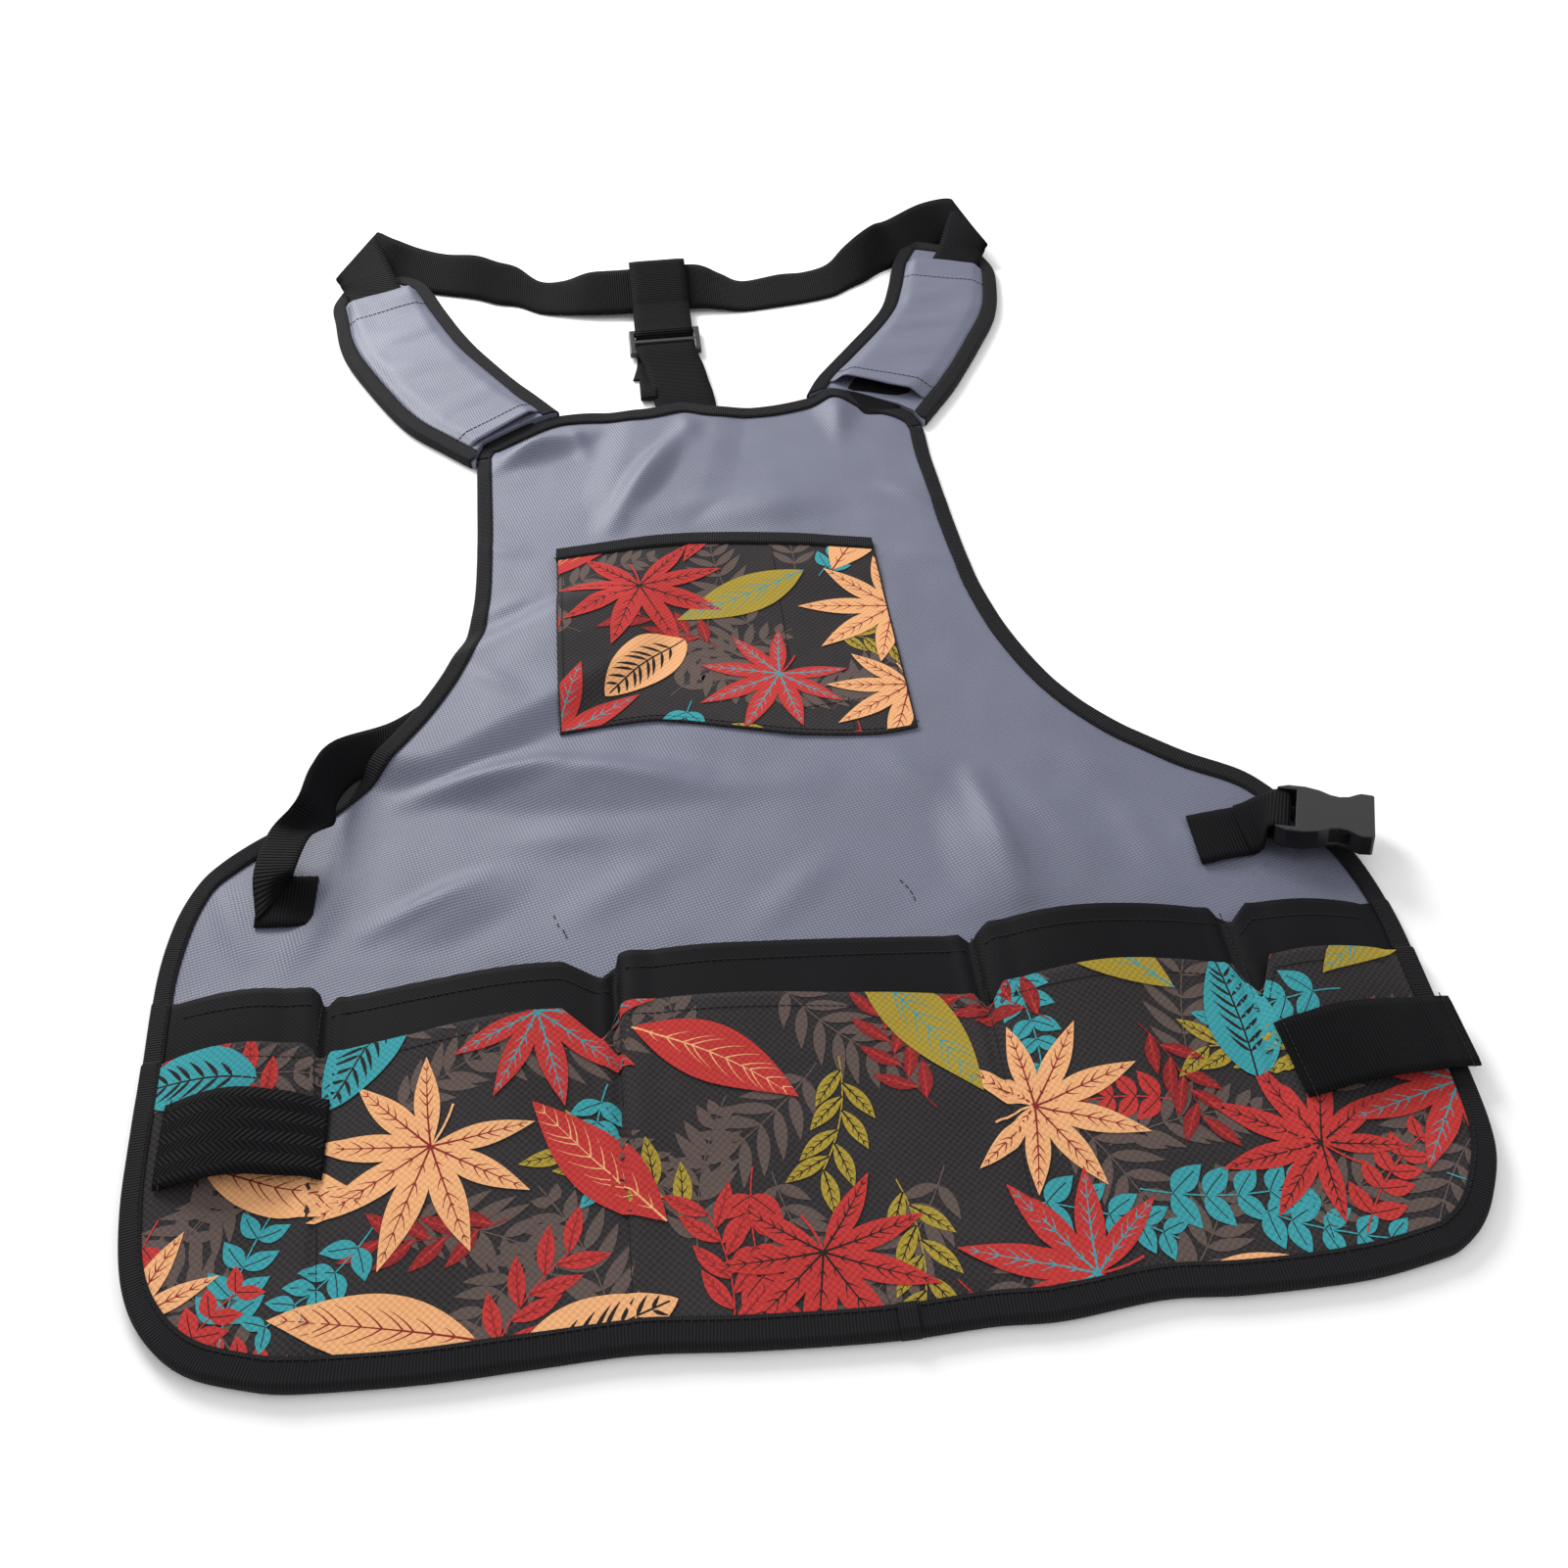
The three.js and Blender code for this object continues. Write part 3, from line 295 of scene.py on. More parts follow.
def shellFrom(name, high, low, uvRows, material):
    # A wall between two matching nets of points, seen from above with rows going up
    rows = len(high)
    count = len(high[0])
    points = [p for row in high for p in row] + [p for row in low for p in row]
    uvs = [uv for row in uvRows for uv in row] * 2
    half = rows * count
    faces = []
    for i in range(rows - 1):
        for j in range(count - 1):
            a = i * count + j
            faces.append((a, a + 1, a + count + 1, a + count))
            faces.append((half + a, half + a + count, half + a + count + 1, half + a + 1))
        left = i * count
        right = left + count - 1
        faces.append((left, left + count, half + left + count, half + left))
        faces.append((right, half + right, half + right + count, right + count))
    last = (rows - 1) * count
    for j in range(count - 1):
        faces.append((j, half + j, half + j + 1, j + 1))
        faces.append((last + j, last + j + 1, half + last + j + 1, half + last + j))
    return meshFrom(name, points, faces, uvs, material)


# Outline of the apron: (height up the side, left half width, right half width)
sideRows = [
    (12.0, 206.4, 232.4), (19.7, 228.3, 244.1), (33.6, 244.1, 254.6), (55.2, 255.7, 264.0),
    (89.4, 262.1, 267.5), (128.7, 264.0, 268.0), (168.6, 265.6, 269.6), (202.9, 266.9, 266.9),
    (227.6, 265.1, 259.2), (252.3, 260.0, 244.1), (269.5, 251.1, 232.4), (285.3, 234.2, 210.4),
    (301.2, 209.3, 192.7), (318.9, 191.6, 176.6), (341.7, 173.7, 161.3), (371.5, 156.8, 149.3),
    (406.4, 143.4, 139.9), (445.7, 136.9, 134.5), (495.2, 135.6, 132.1), (554.8, 136.9, 130.5),
    (598.5, 137.5, 130.5),
]
hemRows = [
    (-190.5, 8.9), (-145.0, 7.0), (-107.2, 7.9), (-68.6, 8.9), (-30.8, 5.7), (4.0, 3.8),
    (29.7, 3.2), (59.5, 4.4), (84.4, 3.5), (122.2, 7.3), (152.8, 5.4), (198.6, 6.0),
]
bibTopRows = [
    (-134.0, 608.0), (-99.2, 632.7), (-76.4, 637.2), (-37.8, 632.7), (-11.5, 637.2),
    (8.0, 630.2), (41.8, 628.3), (68.6, 634.0), (84.4, 637.8), (120.1, 614.3),
]
leftSide = [(-row[1], row[0]) for row in sideRows]
rightSide = [(row[2], row[0]) for row in sideRows]
outlineCurves = {
    "hem": smoothLine([leftSide[0]] + hemRows + [rightSide[0]], 2.0),
    "left": smoothLine(leftSide + [bibTopRows[0]], 2.0),
    "right": smoothLine(rightSide + [bibTopRows[-1]], 2.0),
    "top": smoothLine(bibTopRows, 2.0),
}
leftWidth = [(row[0], row[1]) for row in sideRows]
rightWidth = [(row[0], row[2]) for row in sideRows]

# Broad folds, as in the solids: middle, direction in degrees, half sizes and height
foldRows = [
    (-37.5, 561.1, 63, 69.7, 24.1, 5.3), (-99.2, 599.1, 22, 40.2, 16.1, 4.9),
    (-91.1, 307.5, -8, 91.1, 26.8, 5.6), (104.5, 237.8, -83, 50.9, 26.8, 4.9),
    (-139.4, 231.4, 29, 42.9, 21.4, 3.5), (83.1, 624.5, 90, 32.2, 18.8, 3.9),
    (26.8, 516.7, 4, 53.6, 18.8, 3.2),
]
# Cloth raised by webbing beneath: from, to, half width and height
lyingRows = [
    (-160.8, 355.0, -77.7, 408.9, 26.8, 7.0),
    (-12.1, 646.7, -32.2, 548.4, 24.1, 2.2),
]
# Narrow creases: from, to, half width and height
creaseRows = [
    (-62, 512, -10, 612, 7, 3.0), (-128, 592, -70, 612, 6, 2.4), (-132, 578, -96, 604, 5, 1.6),
    (-165, 303, -95, 316, 7, 3.4), (-100, 316, -30, 300, 8, 2.4), (-60, 296, 30, 290, 10, 1.2),
    (104, 285, 112, 205, 6, 3.6), (124, 282, 150, 226, 9, 1.4), (-178, 220, -128, 246, 6, 2.6),
    (-210, 205, -196, 250, 7, 1.6), (-22, 530, 52, 529, 10, 1.4), (100, 532, 126, 512, 6, 1.8),
    (96, 470, 128, 452, 7, 1.3), (-134, 503, -112, 494, 5, 1.2), (-133, 440, -108, 452, 6, 1.3),
    (-134, 388, -112, 369, 5, 1.2), (-80, 618, -74, 590, 5, 1.4), (-12, 622, -8, 596, 6, 1.2),
    (84, 622, 80, 586, 6, 1.6), (196, 232, 238, 206, 8, 2.0), (180, 206, 168, 262, 8, 1.2),
    (30, 240, -6, 204, 9, 1.1), (62, 310, 92, 268, 9, 1.1), (-40, 250, -92, 214, 10, 1.2),
    (-232, 214, -250, 262, 6, 1.4), (150, 300, 176, 270, 8, 1.3), (-120, 270, -60, 266, 9, 1.2),
]


def nearLine(x, y, row):
    dx, dy = row[2] - row[0], row[3] - row[1]
    share = ((x - row[0]) * dx + (y - row[1]) * dy) / (dx * dx + dy * dy)
    clipped = min(1.0, max(0.0, share))
    return math.hypot(x - row[0] - dx * clipped, y - row[1] - dy * clipped), clipped


def foldHeight(x, y):
    total = 0.0
    for cx, cy, turn, long, wide, rise in foldRows:
        dx, dy = x - cx, y - cy
        if dx * dx + dy * dy > 9500:
            continue
        c, s = math.cos(math.radians(turn)), math.sin(math.radians(turn))
        total += rise * smooth(1 - math.hypot((dx * c + dy * s) / long, (dy * c - dx * s) / wide))
    for row in lyingRows:
        away, _ = nearLine(x, y, row)
        total = max(total, row[5] * smooth(1 - (away - row[4]) / 22))
    return total


clothFolds = {"crease": 1.25, "ripple": 1.2, "rippleSize": 66.0}


def creaseHeight(x, y):
    total = 0.0
    for row in creaseRows:
        if abs(x - (row[0] + row[2]) / 2) > 85 or abs(y - (row[1] + row[3]) / 2) > 85:
            continue
        away, share = nearLine(x, y, row)
        if away < 3 * row[4]:
            taper = math.sin(math.pi * min(1.0, max(0.0, 0.12 + 0.76 * share)))
            total += row[5] * taper * math.exp(-(away / row[4]) ** 2)
    size = clothFolds["rippleSize"]
    ripple = noise.noise(Vector((x / size, y / size, 3.1)))
    ripple += 0.4 * noise.noise(Vector((x / 19, y / 25, 8.4)))
    ripple = clothFolds["ripple"] * max(-0.3, ripple)
    return clothFolds["crease"] * total + ripple


# Lower pockets: from, to, share where it stands open most, rises of the two layers,
# and the heights of the two mouths at each end
pocketRows = [
    (-256, -194, 0.55, 7.0, 5.0, 157, 156, 190, 187),
    (-194, -69.4, 0.66, 8.7, 5.9, 153, 157, 184, 187),
    (-69.4, 84, 0.24, 8.7, 5.9, 157, 149, 188, 184),
    (84, 194, 0.42, 14.0, 5.9, 149, 150, 184, 184),
    (194, 257, 0.45, 7.0, 5.0, 150, 151, 183, 180),
]


def pocketOf(x):
    for row in pocketRows:
        if x <= row[1]:
            return row
    return pocketRows[-1]


# The seams lean: how far across each has moved at the hem, at its place on the mouth
seamLeans = [(-198, 12), (-69, 0), (84, -2), (192, -5)]


def leaning(lean, y):
    # The part of a seam's lean that is left at a height
    return lean * (1 - y / pocketDepths["dark"]) * 0.7


def atTheMouth(x, y):
    # The place on the mouth that belongs to a place lower down
    leans = [(place, -lean) for place, lean in seamLeans] + [(260, 0)]
    return x - leaning(valueAt(leans, x), y)


def pocketRise(layer, x, y):
    depth = pocketDepths[layer]
    mouth = atTheMouth(x, y)
    row = pocketOf(mouth)
    share = min(1.0, max(0.0, (mouth - row[0]) / (row[1] - row[0])))
    bent = share ** (math.log(0.5) / math.log(row[2]))
    corner = 60 * smooth((abs(mouth) / apron["halfWidth"] - 0.68) / 0.25)
    up = max(0.0, (y - 21 - corner) / (depth - 21 - corner))
    rise = row[3] if layer == "dark" else row[4]
    return rise * math.sin(math.pi * bent) ** 0.8 * min(1.1, up ** 1.5)


# Notches in the mouths at the seams: middle, reach to either side, drops of the two layers
notchRows = [
    (-193, 5, 5, 3.0, 4.5), (-76, 16, 7, 15.0, 9.0), (84, 5, 7, 9.0, 5.0), (196, 6, 9, 20.0, 10.0),
]


def mouthAt(layer, x):
    row = pocketOf(x)
    share = min(1.0, max(0.0, (x - row[0]) / (row[1] - row[0])))
    ends = row[5:7] if layer == "print" else row[7:9]
    height = lerp(ends[0], ends[1], share)
    for middle, before, after, printDrop, darkDrop in notchRows:
        reach = before if x < middle else after
        drop = printDrop if layer == "print" else darkDrop
        height -= drop * max(0.0, 1 - abs(x - middle) / reach)
    return height


# Side to which the cloth laps at each seam
lapRows = {-194: 1, -69.4: -1, 84: -1, 194: -1}


def pleat(x, y, depth):
    # Cloth lapped over at each seam: it climbs to a lip and drops sharply
    total = 0.0
    for place, side in lapRows.items():
        away = (x - place - leaning(valueAt(seamLeans, place), y)) * side
        if -18 < away < 14:
            lip = smooth((away + 17) / 14) * smooth((1.2 - away) / 2.4)
            total += (3.2 * lip + 0.9 * math.exp(-((away - 6) / 3.0) ** 2)) * smooth(y / depth + 0.15)
    return total


def slowWave(x, y, seed, size):
    return noise.noise(Vector((x / size, y / size, seed)))


def bodyLow(x, y):
    lift = foldHeight(x, y)
    detail = creaseHeight(x, y) * smooth((y - 188) / 16)
    return clothBase + max(0.0, lift + detail + 0.25)


def darkLow(x, y):
    wave = 0.8 * slowWave(x, y, 5.5, 38) * smooth(y / 60)
    return (clothBase + foldHeight(x, y) + layerStep + pocketRise("dark", x, y)
            + pleat(x, y, pocketDepths["dark"]) + max(-0.2, wave))


def printLow(x, y):
    wave = 0.9 * slowWave(x, y, 2.2, 30) * smooth(y / 50)
    return (clothBase + foldHeight(x, y) + 2 * layerStep + pocketRise("dark", x, y)
            + pocketRise("print", x, y) + pleat(x, y, pocketDepths["print"])
            + max(-0.2, wave) + 0.6 * smooth(y / 60))


# Chest pocket: its middle, size and bulge, and its lower and upper edges
chest = {"x": -4.0, "y": 405.8, "width": 176.0, "height": 155.0, "rise": 6.0}
chestBottom = [
    (-92, 339.4), (-50, 343.8), (-31, 340.4), (0, 331.4), (27, 323.8), (61.5, 318.8), (84, 321.3),
]
chestTop = [(-92, 491.8), (-31, 490.0), (4, 486.4), (46, 481.7), (84, 477.9)]


def chestLow(x, y):
    across = (x - chest["x"]) / chest["width"]
    up = (y - chest["y"]) / chest["height"] + 0.5
    belly = max(0.0, math.cos(math.pi * min(0.5, abs(across))))
    band = 1.3 * smooth((up - 0.62) / 0.16)
    wave = 0.7 * slowWave(x, y, 7.7, 34) * smooth((up - 0.05) / 0.3)
    return (clothBase + foldHeight(x, y) + layerStep + chest["rise"] * belly * smooth((up - 0.35) / 0.6)
            + band + max(-0.2, wave) + 0.5)


def bodyTop(x, y):
    return bodyLow(x, y) + apron["clothWall"]


def stackTop(x, y):
    if y < mouthAt("print", x) + 1:
        return printLow(x, y) + apron["clothWall"]
    if y < mouthAt("dark", x) + 1:
        return darkLow(x, y) + apron["clothWall"]
    return bodyTop(x, y)


def clothFrom(name, places, heightAt, material):
    low = [[(x, y, heightAt(x, y)) for x, y in row] for row in places]
    high = [[(x, y, z + apron["clothWall"]) for x, y, z in row] for row in low]
    return shellFrom(name, high, low, places, material)


def stretchedPlaces(bottom, top, left, right, across, up):
    # A net stretched between four curves
    bottom, top = evenly(bottom, across), evenly(top, across)
    left, right = evenly(left, up), evenly(right, up)
    places = []
    for i in range(up):
        v = i / (up - 1)
        row = []
        for j in range(across):
            u = j / (across - 1)
            corner = ((bottom[0] * (1 - u) + bottom[-1] * u) * (1 - v)
                      + (top[0] * (1 - u) + top[-1] * u) * v)
            place = bottom[j] * (1 - v) + top[j] * v + left[i] * (1 - u) + right[i] * u - corner
            row.append((place.x, place.y))
        places.append(row)
    return places


bodyPanel = {"across": 165, "up": 200}
body = clothFrom("body_cloth", stretchedPlaces(
    outlineCurves["hem"], outlineCurves["top"], outlineCurves["left"], outlineCurves["right"],
    bodyPanel["across"], bodyPanel["up"]), bodyLow, oxford)
print("body cloth:", len(body.data.polygons), "faces")


def lowerPlaces(layer, across, up):
    hem = [leftSide[0]] + hemRows + [rightSide[0]]
    depth = pocketDepths[layer]
    places = []
    for i in range(up):
        v = i / (up - 1)
        y0 = 2 + v * depth
        row = []
        for j in range(across):
            u = j / (across - 1)
            x = lerp(-valueAt(leftWidth, y0) + 1.2, valueAt(rightWidth, y0) - 1.2, u)
            row.append((x, lerp(valueAt(hem, x) + 1.5, mouthAt(layer, x), v)))
        places.append(row)
    return places


pocketNet = {"across": 380, "darkUp": 62, "printUp": 60, "chestAcross": 80, "chestUp": 72}
dark = clothFrom("dark_pocket_cloth", lowerPlaces("dark", pocketNet["across"], pocketNet["darkUp"]),
                 darkLow, nylon)
printed = clothFrom("printed_pocket_cloth", lowerPlaces("print", pocketNet["across"], pocketNet["printUp"]),
                    printLow, canvas)
chestCloth = clothFrom("chest_pocket_cloth", stretchedPlaces(
    smoothLine(chestBottom, 2), smoothLine(chestTop, 2),
    smoothLine([chestBottom[0], chestTop[0]], 2), smoothLine([chestBottom[-1], chestTop[-1]], 2),
    pocketNet["chestAcross"], pocketNet["chestUp"]), chestLow, canvas)
print("pocket cloths made")

# Binding tape: how wide, how thick, how far it stands proud of the cloth's edge and off its faces
binding = {"side": 7.6, "hem": 10.8, "wall": 0.7, "proud": 1.1, "gap": 0.15}


def tapeWidth(run):
    # It shows wider along the hem than up the sides
    return lerp(binding["side"], binding["hem"], abs(run.x))


def tapeAlong(name, line, heightLow, heightHigh, material, inward=1):
    # Folded over an edge: line is the edge with the cloth on its left
    rows, uvs = [], []
    length = 0.0
    wall, gap = binding["wall"], binding["gap"]
    for i, point in enumerate(line):
        before, after = line[max(0, i - 1)], line[min(len(line) - 1, i + 1)]
        run = (after - before).normalized()
        side = Vector((-run.y, run.x)) * inward
        if i:
            length += (point - line[i - 1]).length
        row, uvRow = [], []

        def put(depth, z, across):
            place = point + side * depth
            row.append((place.x, place.y, z))
            uvRow.append((length, across))

        width = tapeWidth(run) + 0.35 * noise.noise(Vector((length / 40, 5.0, 2.0)))
        depths = [width, width * 0.66, width * 0.33, 1.5, 0.2]
        for depth in depths:
            inner = point + side * depth
            put(depth, heightHigh(inner.x, inner.y) + gap + wall, depth)
        low = min(heightLow(point.x, point.y), heightHigh(point.x, point.y) - 1)
        high = heightHigh(point.x, point.y)
        put(-0.75 * binding["proud"], lerp(low, high, 0.85) + wall * 0.3, -0.8)
        put(-binding["proud"], lerp(low, high, 0.5), -1.4)
        put(-0.75 * binding["proud"], low - wall * 0.5, -2)
        for depth in reversed(depths):
            inner = point + side * depth
            put(depth, max(0.05, heightLow(inner.x, inner.y) - gap - wall), -3 - depth)
        for depth in depths[:-1]:
            inner = point + side * depth
            put(depth, heightLow(inner.x, inner.y) - 0.12, -3 - depth)
        put(0.25, low + 0.1, 0)
        put(0.25, high - 0.1, 0)
        for depth in reversed(depths[:-1]):
            inner = point + side * depth
            put(depth, heightHigh(inner.x, inner.y) + 0.12, depth)
        rows.append(row)
        uvs.append(uvRow)
    return tubeFrom(name, rows, uvs, material)


def tubeFrom(name, rows, uvRows, material):
    # Rings of points joined into a closed tube with capped ends
    count = len(rows[0])
    points = [p for row in rows for p in row]
    uvs = [uv for row in uvRows for uv in row]
    faces = []
    for i in range(len(rows) - 1):
        for j in range(count):
            a, b = i * count + j, i * count + (j + 1) % count
            faces.append((a, b, b + count, a + count))
    last = (len(rows) - 1) * count
    faces.append(tuple(reversed(range(count))))
    faces.append(tuple(range(last, last + count)))
    obj = meshFrom(name, points, faces, uvs, material)
    facingOut(obj)
    return obj


# Where the tapes meet: across on the hem and up the bib's sides
hemJoin = 30.8
bibJoinY = 592.8
hemLine = evenly(outlineCurves["hem"], 240)
leftLine = evenly(outlineCurves["left"], 320)
rightLine = evenly(outlineCurves["right"], 320)
topLine = evenly(outlineCurves["top"], 130)
leftEdge = ([p for p in leftLine if p.y <= bibJoinY][::-1]
            + [p for p in hemLine if p.x <= hemJoin])
rightEdge = ([p for p in hemLine if p.x > hemJoin - 3]
             + [p for p in rightLine if p.y <= bibJoinY])
topEdge = ([p for p in rightLine if p.y > bibJoinY] + topLine[::-1]
           + [p for p in leftLine if p.y > bibJoinY][::-1])


def rounded(line, times=6):
    for _ in range(times):
        middle = [(a + b * 2 + c) / 4 for a, b, c in zip(line, line[1:], line[2:])]
        line = [line[0]] + middle + [line[-1]]
    return line


leftTape = tapeAlong("left_binding_tape", rounded(leftEdge), bodyLow, stackTop, tape)
rightTape = tapeAlong("right_binding_tape", rounded(rightEdge), bodyLow, stackTop, tape)
topTape = tapeAlong("bib_top_binding_tape", rounded(topEdge), bodyLow, stackTop, tape)
hemFlap = tapeAlong("hem_join_tape", [p for p in hemLine if hemJoin - 6 < p.x < hemJoin + 3],
                    lambda x, y: bodyLow(x, y) - 0.5, lambda x, y: stackTop(x, y) + 1.0, tape)
chestMouth = smoothLine(chestTop, 2.0)
chestTape = tapeAlong("chest_mouth_tape", chestMouth[::-1], chestLow,
                      lambda x, y: chestLow(x, y) + apron["clothWall"], tape)
print("bindings made")


# Webbing through pairs of edge points, left edge first
def webbingFrom(name, stations, wall, material, across=8, spacing=3.0):
    edges = [[Vector(station[side]) for station in stations] for side in (0, 1)]
    lefts, rights = [], []
    for i in range(len(stations) - 1):
        nearLeft, nearRight = (around(edge, i) for edge in edges)
        longest = max((near[2] - near[1]).length for near in (nearLeft, nearRight))
        steps = max(2, round(longest / spacing))
        for k in range(steps + (i == len(stations) - 2)):
            lefts.append(curvePoint(*nearLeft, k / steps))
            rights.append(curvePoint(*nearRight, k / steps))
    rows, uvs = [], []
    length = 0.0
    middles = [(a + b) / 2 for a, b in zip(lefts, rights)]
    for i, (a, b) in enumerate(zip(lefts, rights)):
        run = middles[min(len(middles) - 1, i + 1)] - middles[max(0, i - 1)]
        normal = (b - a).cross(run).normalized()
        width = (b - a).length
        if i:
            length += (middles[i] - middles[i - 1]).length
        row, uvRow = [], []
        shares = [k / across for k in range(across + 1)]
        for share, sign in [(share, 1) for share in shares] + [(share, -1) for share in shares[::-1]]:
            thick = wall / 2 * (0.55 if share in (0, 1) else 1)
            place = a.lerp(b, share) + normal * sign * thick
            row.append((place.x, place.y, place.z))
            uvRow.append((length, share * width))
        rows.append(row)
        uvs.append(uvRow)
    return tubeFrom(name, rows, uvs, material)


# Shoulder pads: where they are sewn on, how long and thick they are, and how fine their nets are
pads = {
    "length": 230.0, "y": 608.0, "leftX": -112.0, "rightX": 98.1, "thick": 4.0, "rows": 90, "across": 18,
}
# Up each pad: its outer and its inner edge, as shares of its length
leftPadRows = [
    (0.113, -0.100, -0.113, 0.104), (0.209, 0.004, -0.057, 0.191), (0.313, 0.126, 0.009, 0.291),
    (0.426, 0.343, 0.141, 0.526), (0.509, 0.543, 0.224, 0.726), (0.543, 0.726, 0.278, 0.874),
    (0.557, 0.817, 0.313, 0.939), (0.530, 0.917, 0.365, 0.974),
]
rightPadRows = [
    (0.146, -0.070, -0.148, 0.087), (0.209, 0.026, -0.122, 0.148), (0.270, 0.122, -0.089, 0.213),
    (0.370, 0.313, 0.009, 0.357), (0.452, 0.491, 0.124, 0.535), (0.491, 0.674, 0.172, 0.674),
    (0.496, 0.765, 0.213, 0.830), (0.470, 0.870, 0.270, 0.957),
]


def padEdges(rows, anchorX, side):
    def place(x, y):
        return Vector((anchorX + side * x * pads["length"], pads["y"] + y * pads["length"]))
    return [(place(row[0], row[1]), place(row[2], row[3])) for row in rows]


def padTop(x, y):
    return clothBase + pads["thick"] + 0.5 * slowWave(x, y, 4.4, 26)


def paddedCloth(name, rows):
    # A closed wall from rows of (place, upper height, lower height)
    high = [[(p.x, p.y, upper) for p, upper, _ in row] for row in rows]
    low = [[(p.x, p.y, lower) for p, _, lower in row] for row in rows]
    uvs = [[(p.x, p.y) for p, _, _ in row] for row in rows]
    obj = shellFrom(name, high, low, uvs, oxford)
    facingOut(obj)
    return obj, high


def shoulderPad(name, rows, anchorX, side):
    edges = padEdges(rows, anchorX, side)
    outs = evenly(smoothLine([edge[0] for edge in edges], 3), pads["rows"])
    inners = evenly(smoothLine([edge[1] for edge in edges], 3), pads["rows"])
    net = []
    for a, b in zip(outs, inners):
        row = []
        for k in range(pads["across"] + 1):
            share = k / pads["across"]
            p = a.lerp(b, share if side < 0 else 1 - share)
            edge = min(share, 1 - share) * (b - a).length
            puff = 0.9 * smooth(edge / 14) + 0.3
            row.append((p, padTop(p.x, p.y) - 0.8 + puff, clothBase))
        net.append(row)
    pad, _ = paddedCloth(name + "_pad_cloth", net)
    ring = rounded(smoothLine(outs[2:] + inners[::-1][:-2], 2.0), 4)
    inward = 1 if side > 0 else -1
    edgeTape = tapeAlong(name + "_pad_tape", ring, lambda x, y: clothBase,
                         lambda x, y: padTop(x, y) + 0.1, tape, inward)
    return edges, outs, inners, pad, edgeTape


leftEdges, leftOuts, leftInners, leftPad, leftPadTape = shoulderPad("left", leftPadRows, pads["leftX"], -1)
rightEdges, rightOuts, rightInners, rightPad, rightPadTape = shoulderPad(
    "right", rightPadRows, pads["rightX"], 1)

# Sleeve over each pad, which carries the neck webbing: wrinkles run across it
sleeve = {"wrinkle": 0.9, "roof": 2.8, "rim": 9.0, "wall": 0.9, "across": 24}
webbing = {"width": 38.0, "wall": 1.6, "slimWidth": 30.0, "slimWall": 1.5}


def sleeveCloth(name, outs, inners, side, start, end, openStart=0.0):
    net = []
    base = clothBase + pads["thick"] + 0.9
    for i in range(start, end):
        a, b = outs[i], inners[i]
        width = (b - a).length
        along = (i - start) / (end - start)
        rim = min(sleeve["rim"], width / 2 - webbing["width"] / 2 - 2.0) / width
        shoulder = max(rim + 0.03, 0.5 - (webbing["width"] / 2 + 1.2) / width)
        nearEnd = smooth((along - 0.86) / 0.14)
        row = []
        for k in range(sleeve["across"] + 1):
            share = rim + (1 - 2 * rim) * k / sleeve["across"]
            p = a.lerp(b, share if side < 0 else 1 - share)
            depth = min(share, 1 - share)
            roof = smooth((depth - rim) / (shoulder - rim))
            wrinkle = sleeve["wrinkle"] * noise.noise(Vector((along * 11 + side, share * 2.2, 1.7)))
            wrinkle += 0.5 * sleeve["wrinkle"] * math.sin(along * 26 + 2.4 * math.sin(share * 4 + side))
            z = base + 0.6 * nearEnd + roof * (sleeve["roof"] - 0.4 + 1.6 * nearEnd
                                              + max(-0.2, wrinkle) * smooth((depth - rim) / 0.08))
            z += openStart * roof * smooth(1 - along / 0.22)
            row.append((p, z, z - sleeve["wall"]))
        net.append(row)
    return paddedCloth(name, net)


def cutByBib(obj):
    # The pads stop at the bib's edge, behind its binding
    ring = evenly(outlineCurves["hem"], 20)[:-1] + evenly(outlineCurves["right"], 60)[:-1]
    ring += evenly(outlineCurves["top"], 60)[::-1][:-1] + evenly(outlineCurves["left"], 60)[::-1][:-1]
    ring = [p + side for p, side in zip(ring, outwards(ring, 1.6))]
    count = len(ring)
    points = [toFrame(p.x, p.y, 0) + Vector((0, 0, -0.01)) for p in ring]
    points += [toFrame(p.x, p.y, 60) for p in ring]
    faces = [(k, (k + 1) % count, count + (k + 1) % count, count + k) for k in range(count)]
    faces += [tuple(reversed(range(count))), tuple(range(count, 2 * count))]
    mesh = bpy.data.meshes.new("cutter")
    mesh.from_pydata(points, [], faces)
    cutter = placed("cutter", mesh)
    modifier = obj.modifiers.new("cut", "BOOLEAN")
    modifier.operation = "DIFFERENCE"
    modifier.solver = "EXACT"
    modifier.object = cutter
    plain = meshWithModifiers(obj)
    obj.modifiers.remove(modifier)
    obj.data = plain
    bpy.data.objects.remove(cutter)


def outwards(ring, distance):
    sides = []
    for k, p in enumerate(ring):
        run = (ring[(k + 1) % len(ring)] - ring[k - 1]).normalized()
        sides.append(Vector((run.y, -run.x)) * distance)
    return sides


leftSleeve, leftRows = sleeveCloth("left_sleeve_cloth", leftOuts, leftInners, -1, 6, 79)
rightSleeve, rightRows = sleeveCloth("right_sleeve_cloth", rightOuts, rightInners, 1, 10, 77, 4.0)
for padPiece in (leftPad, leftPadTape, leftSleeve, rightPad, rightPadTape, rightSleeve):
    cutByBib(padPiece)
print("shoulder pads made")

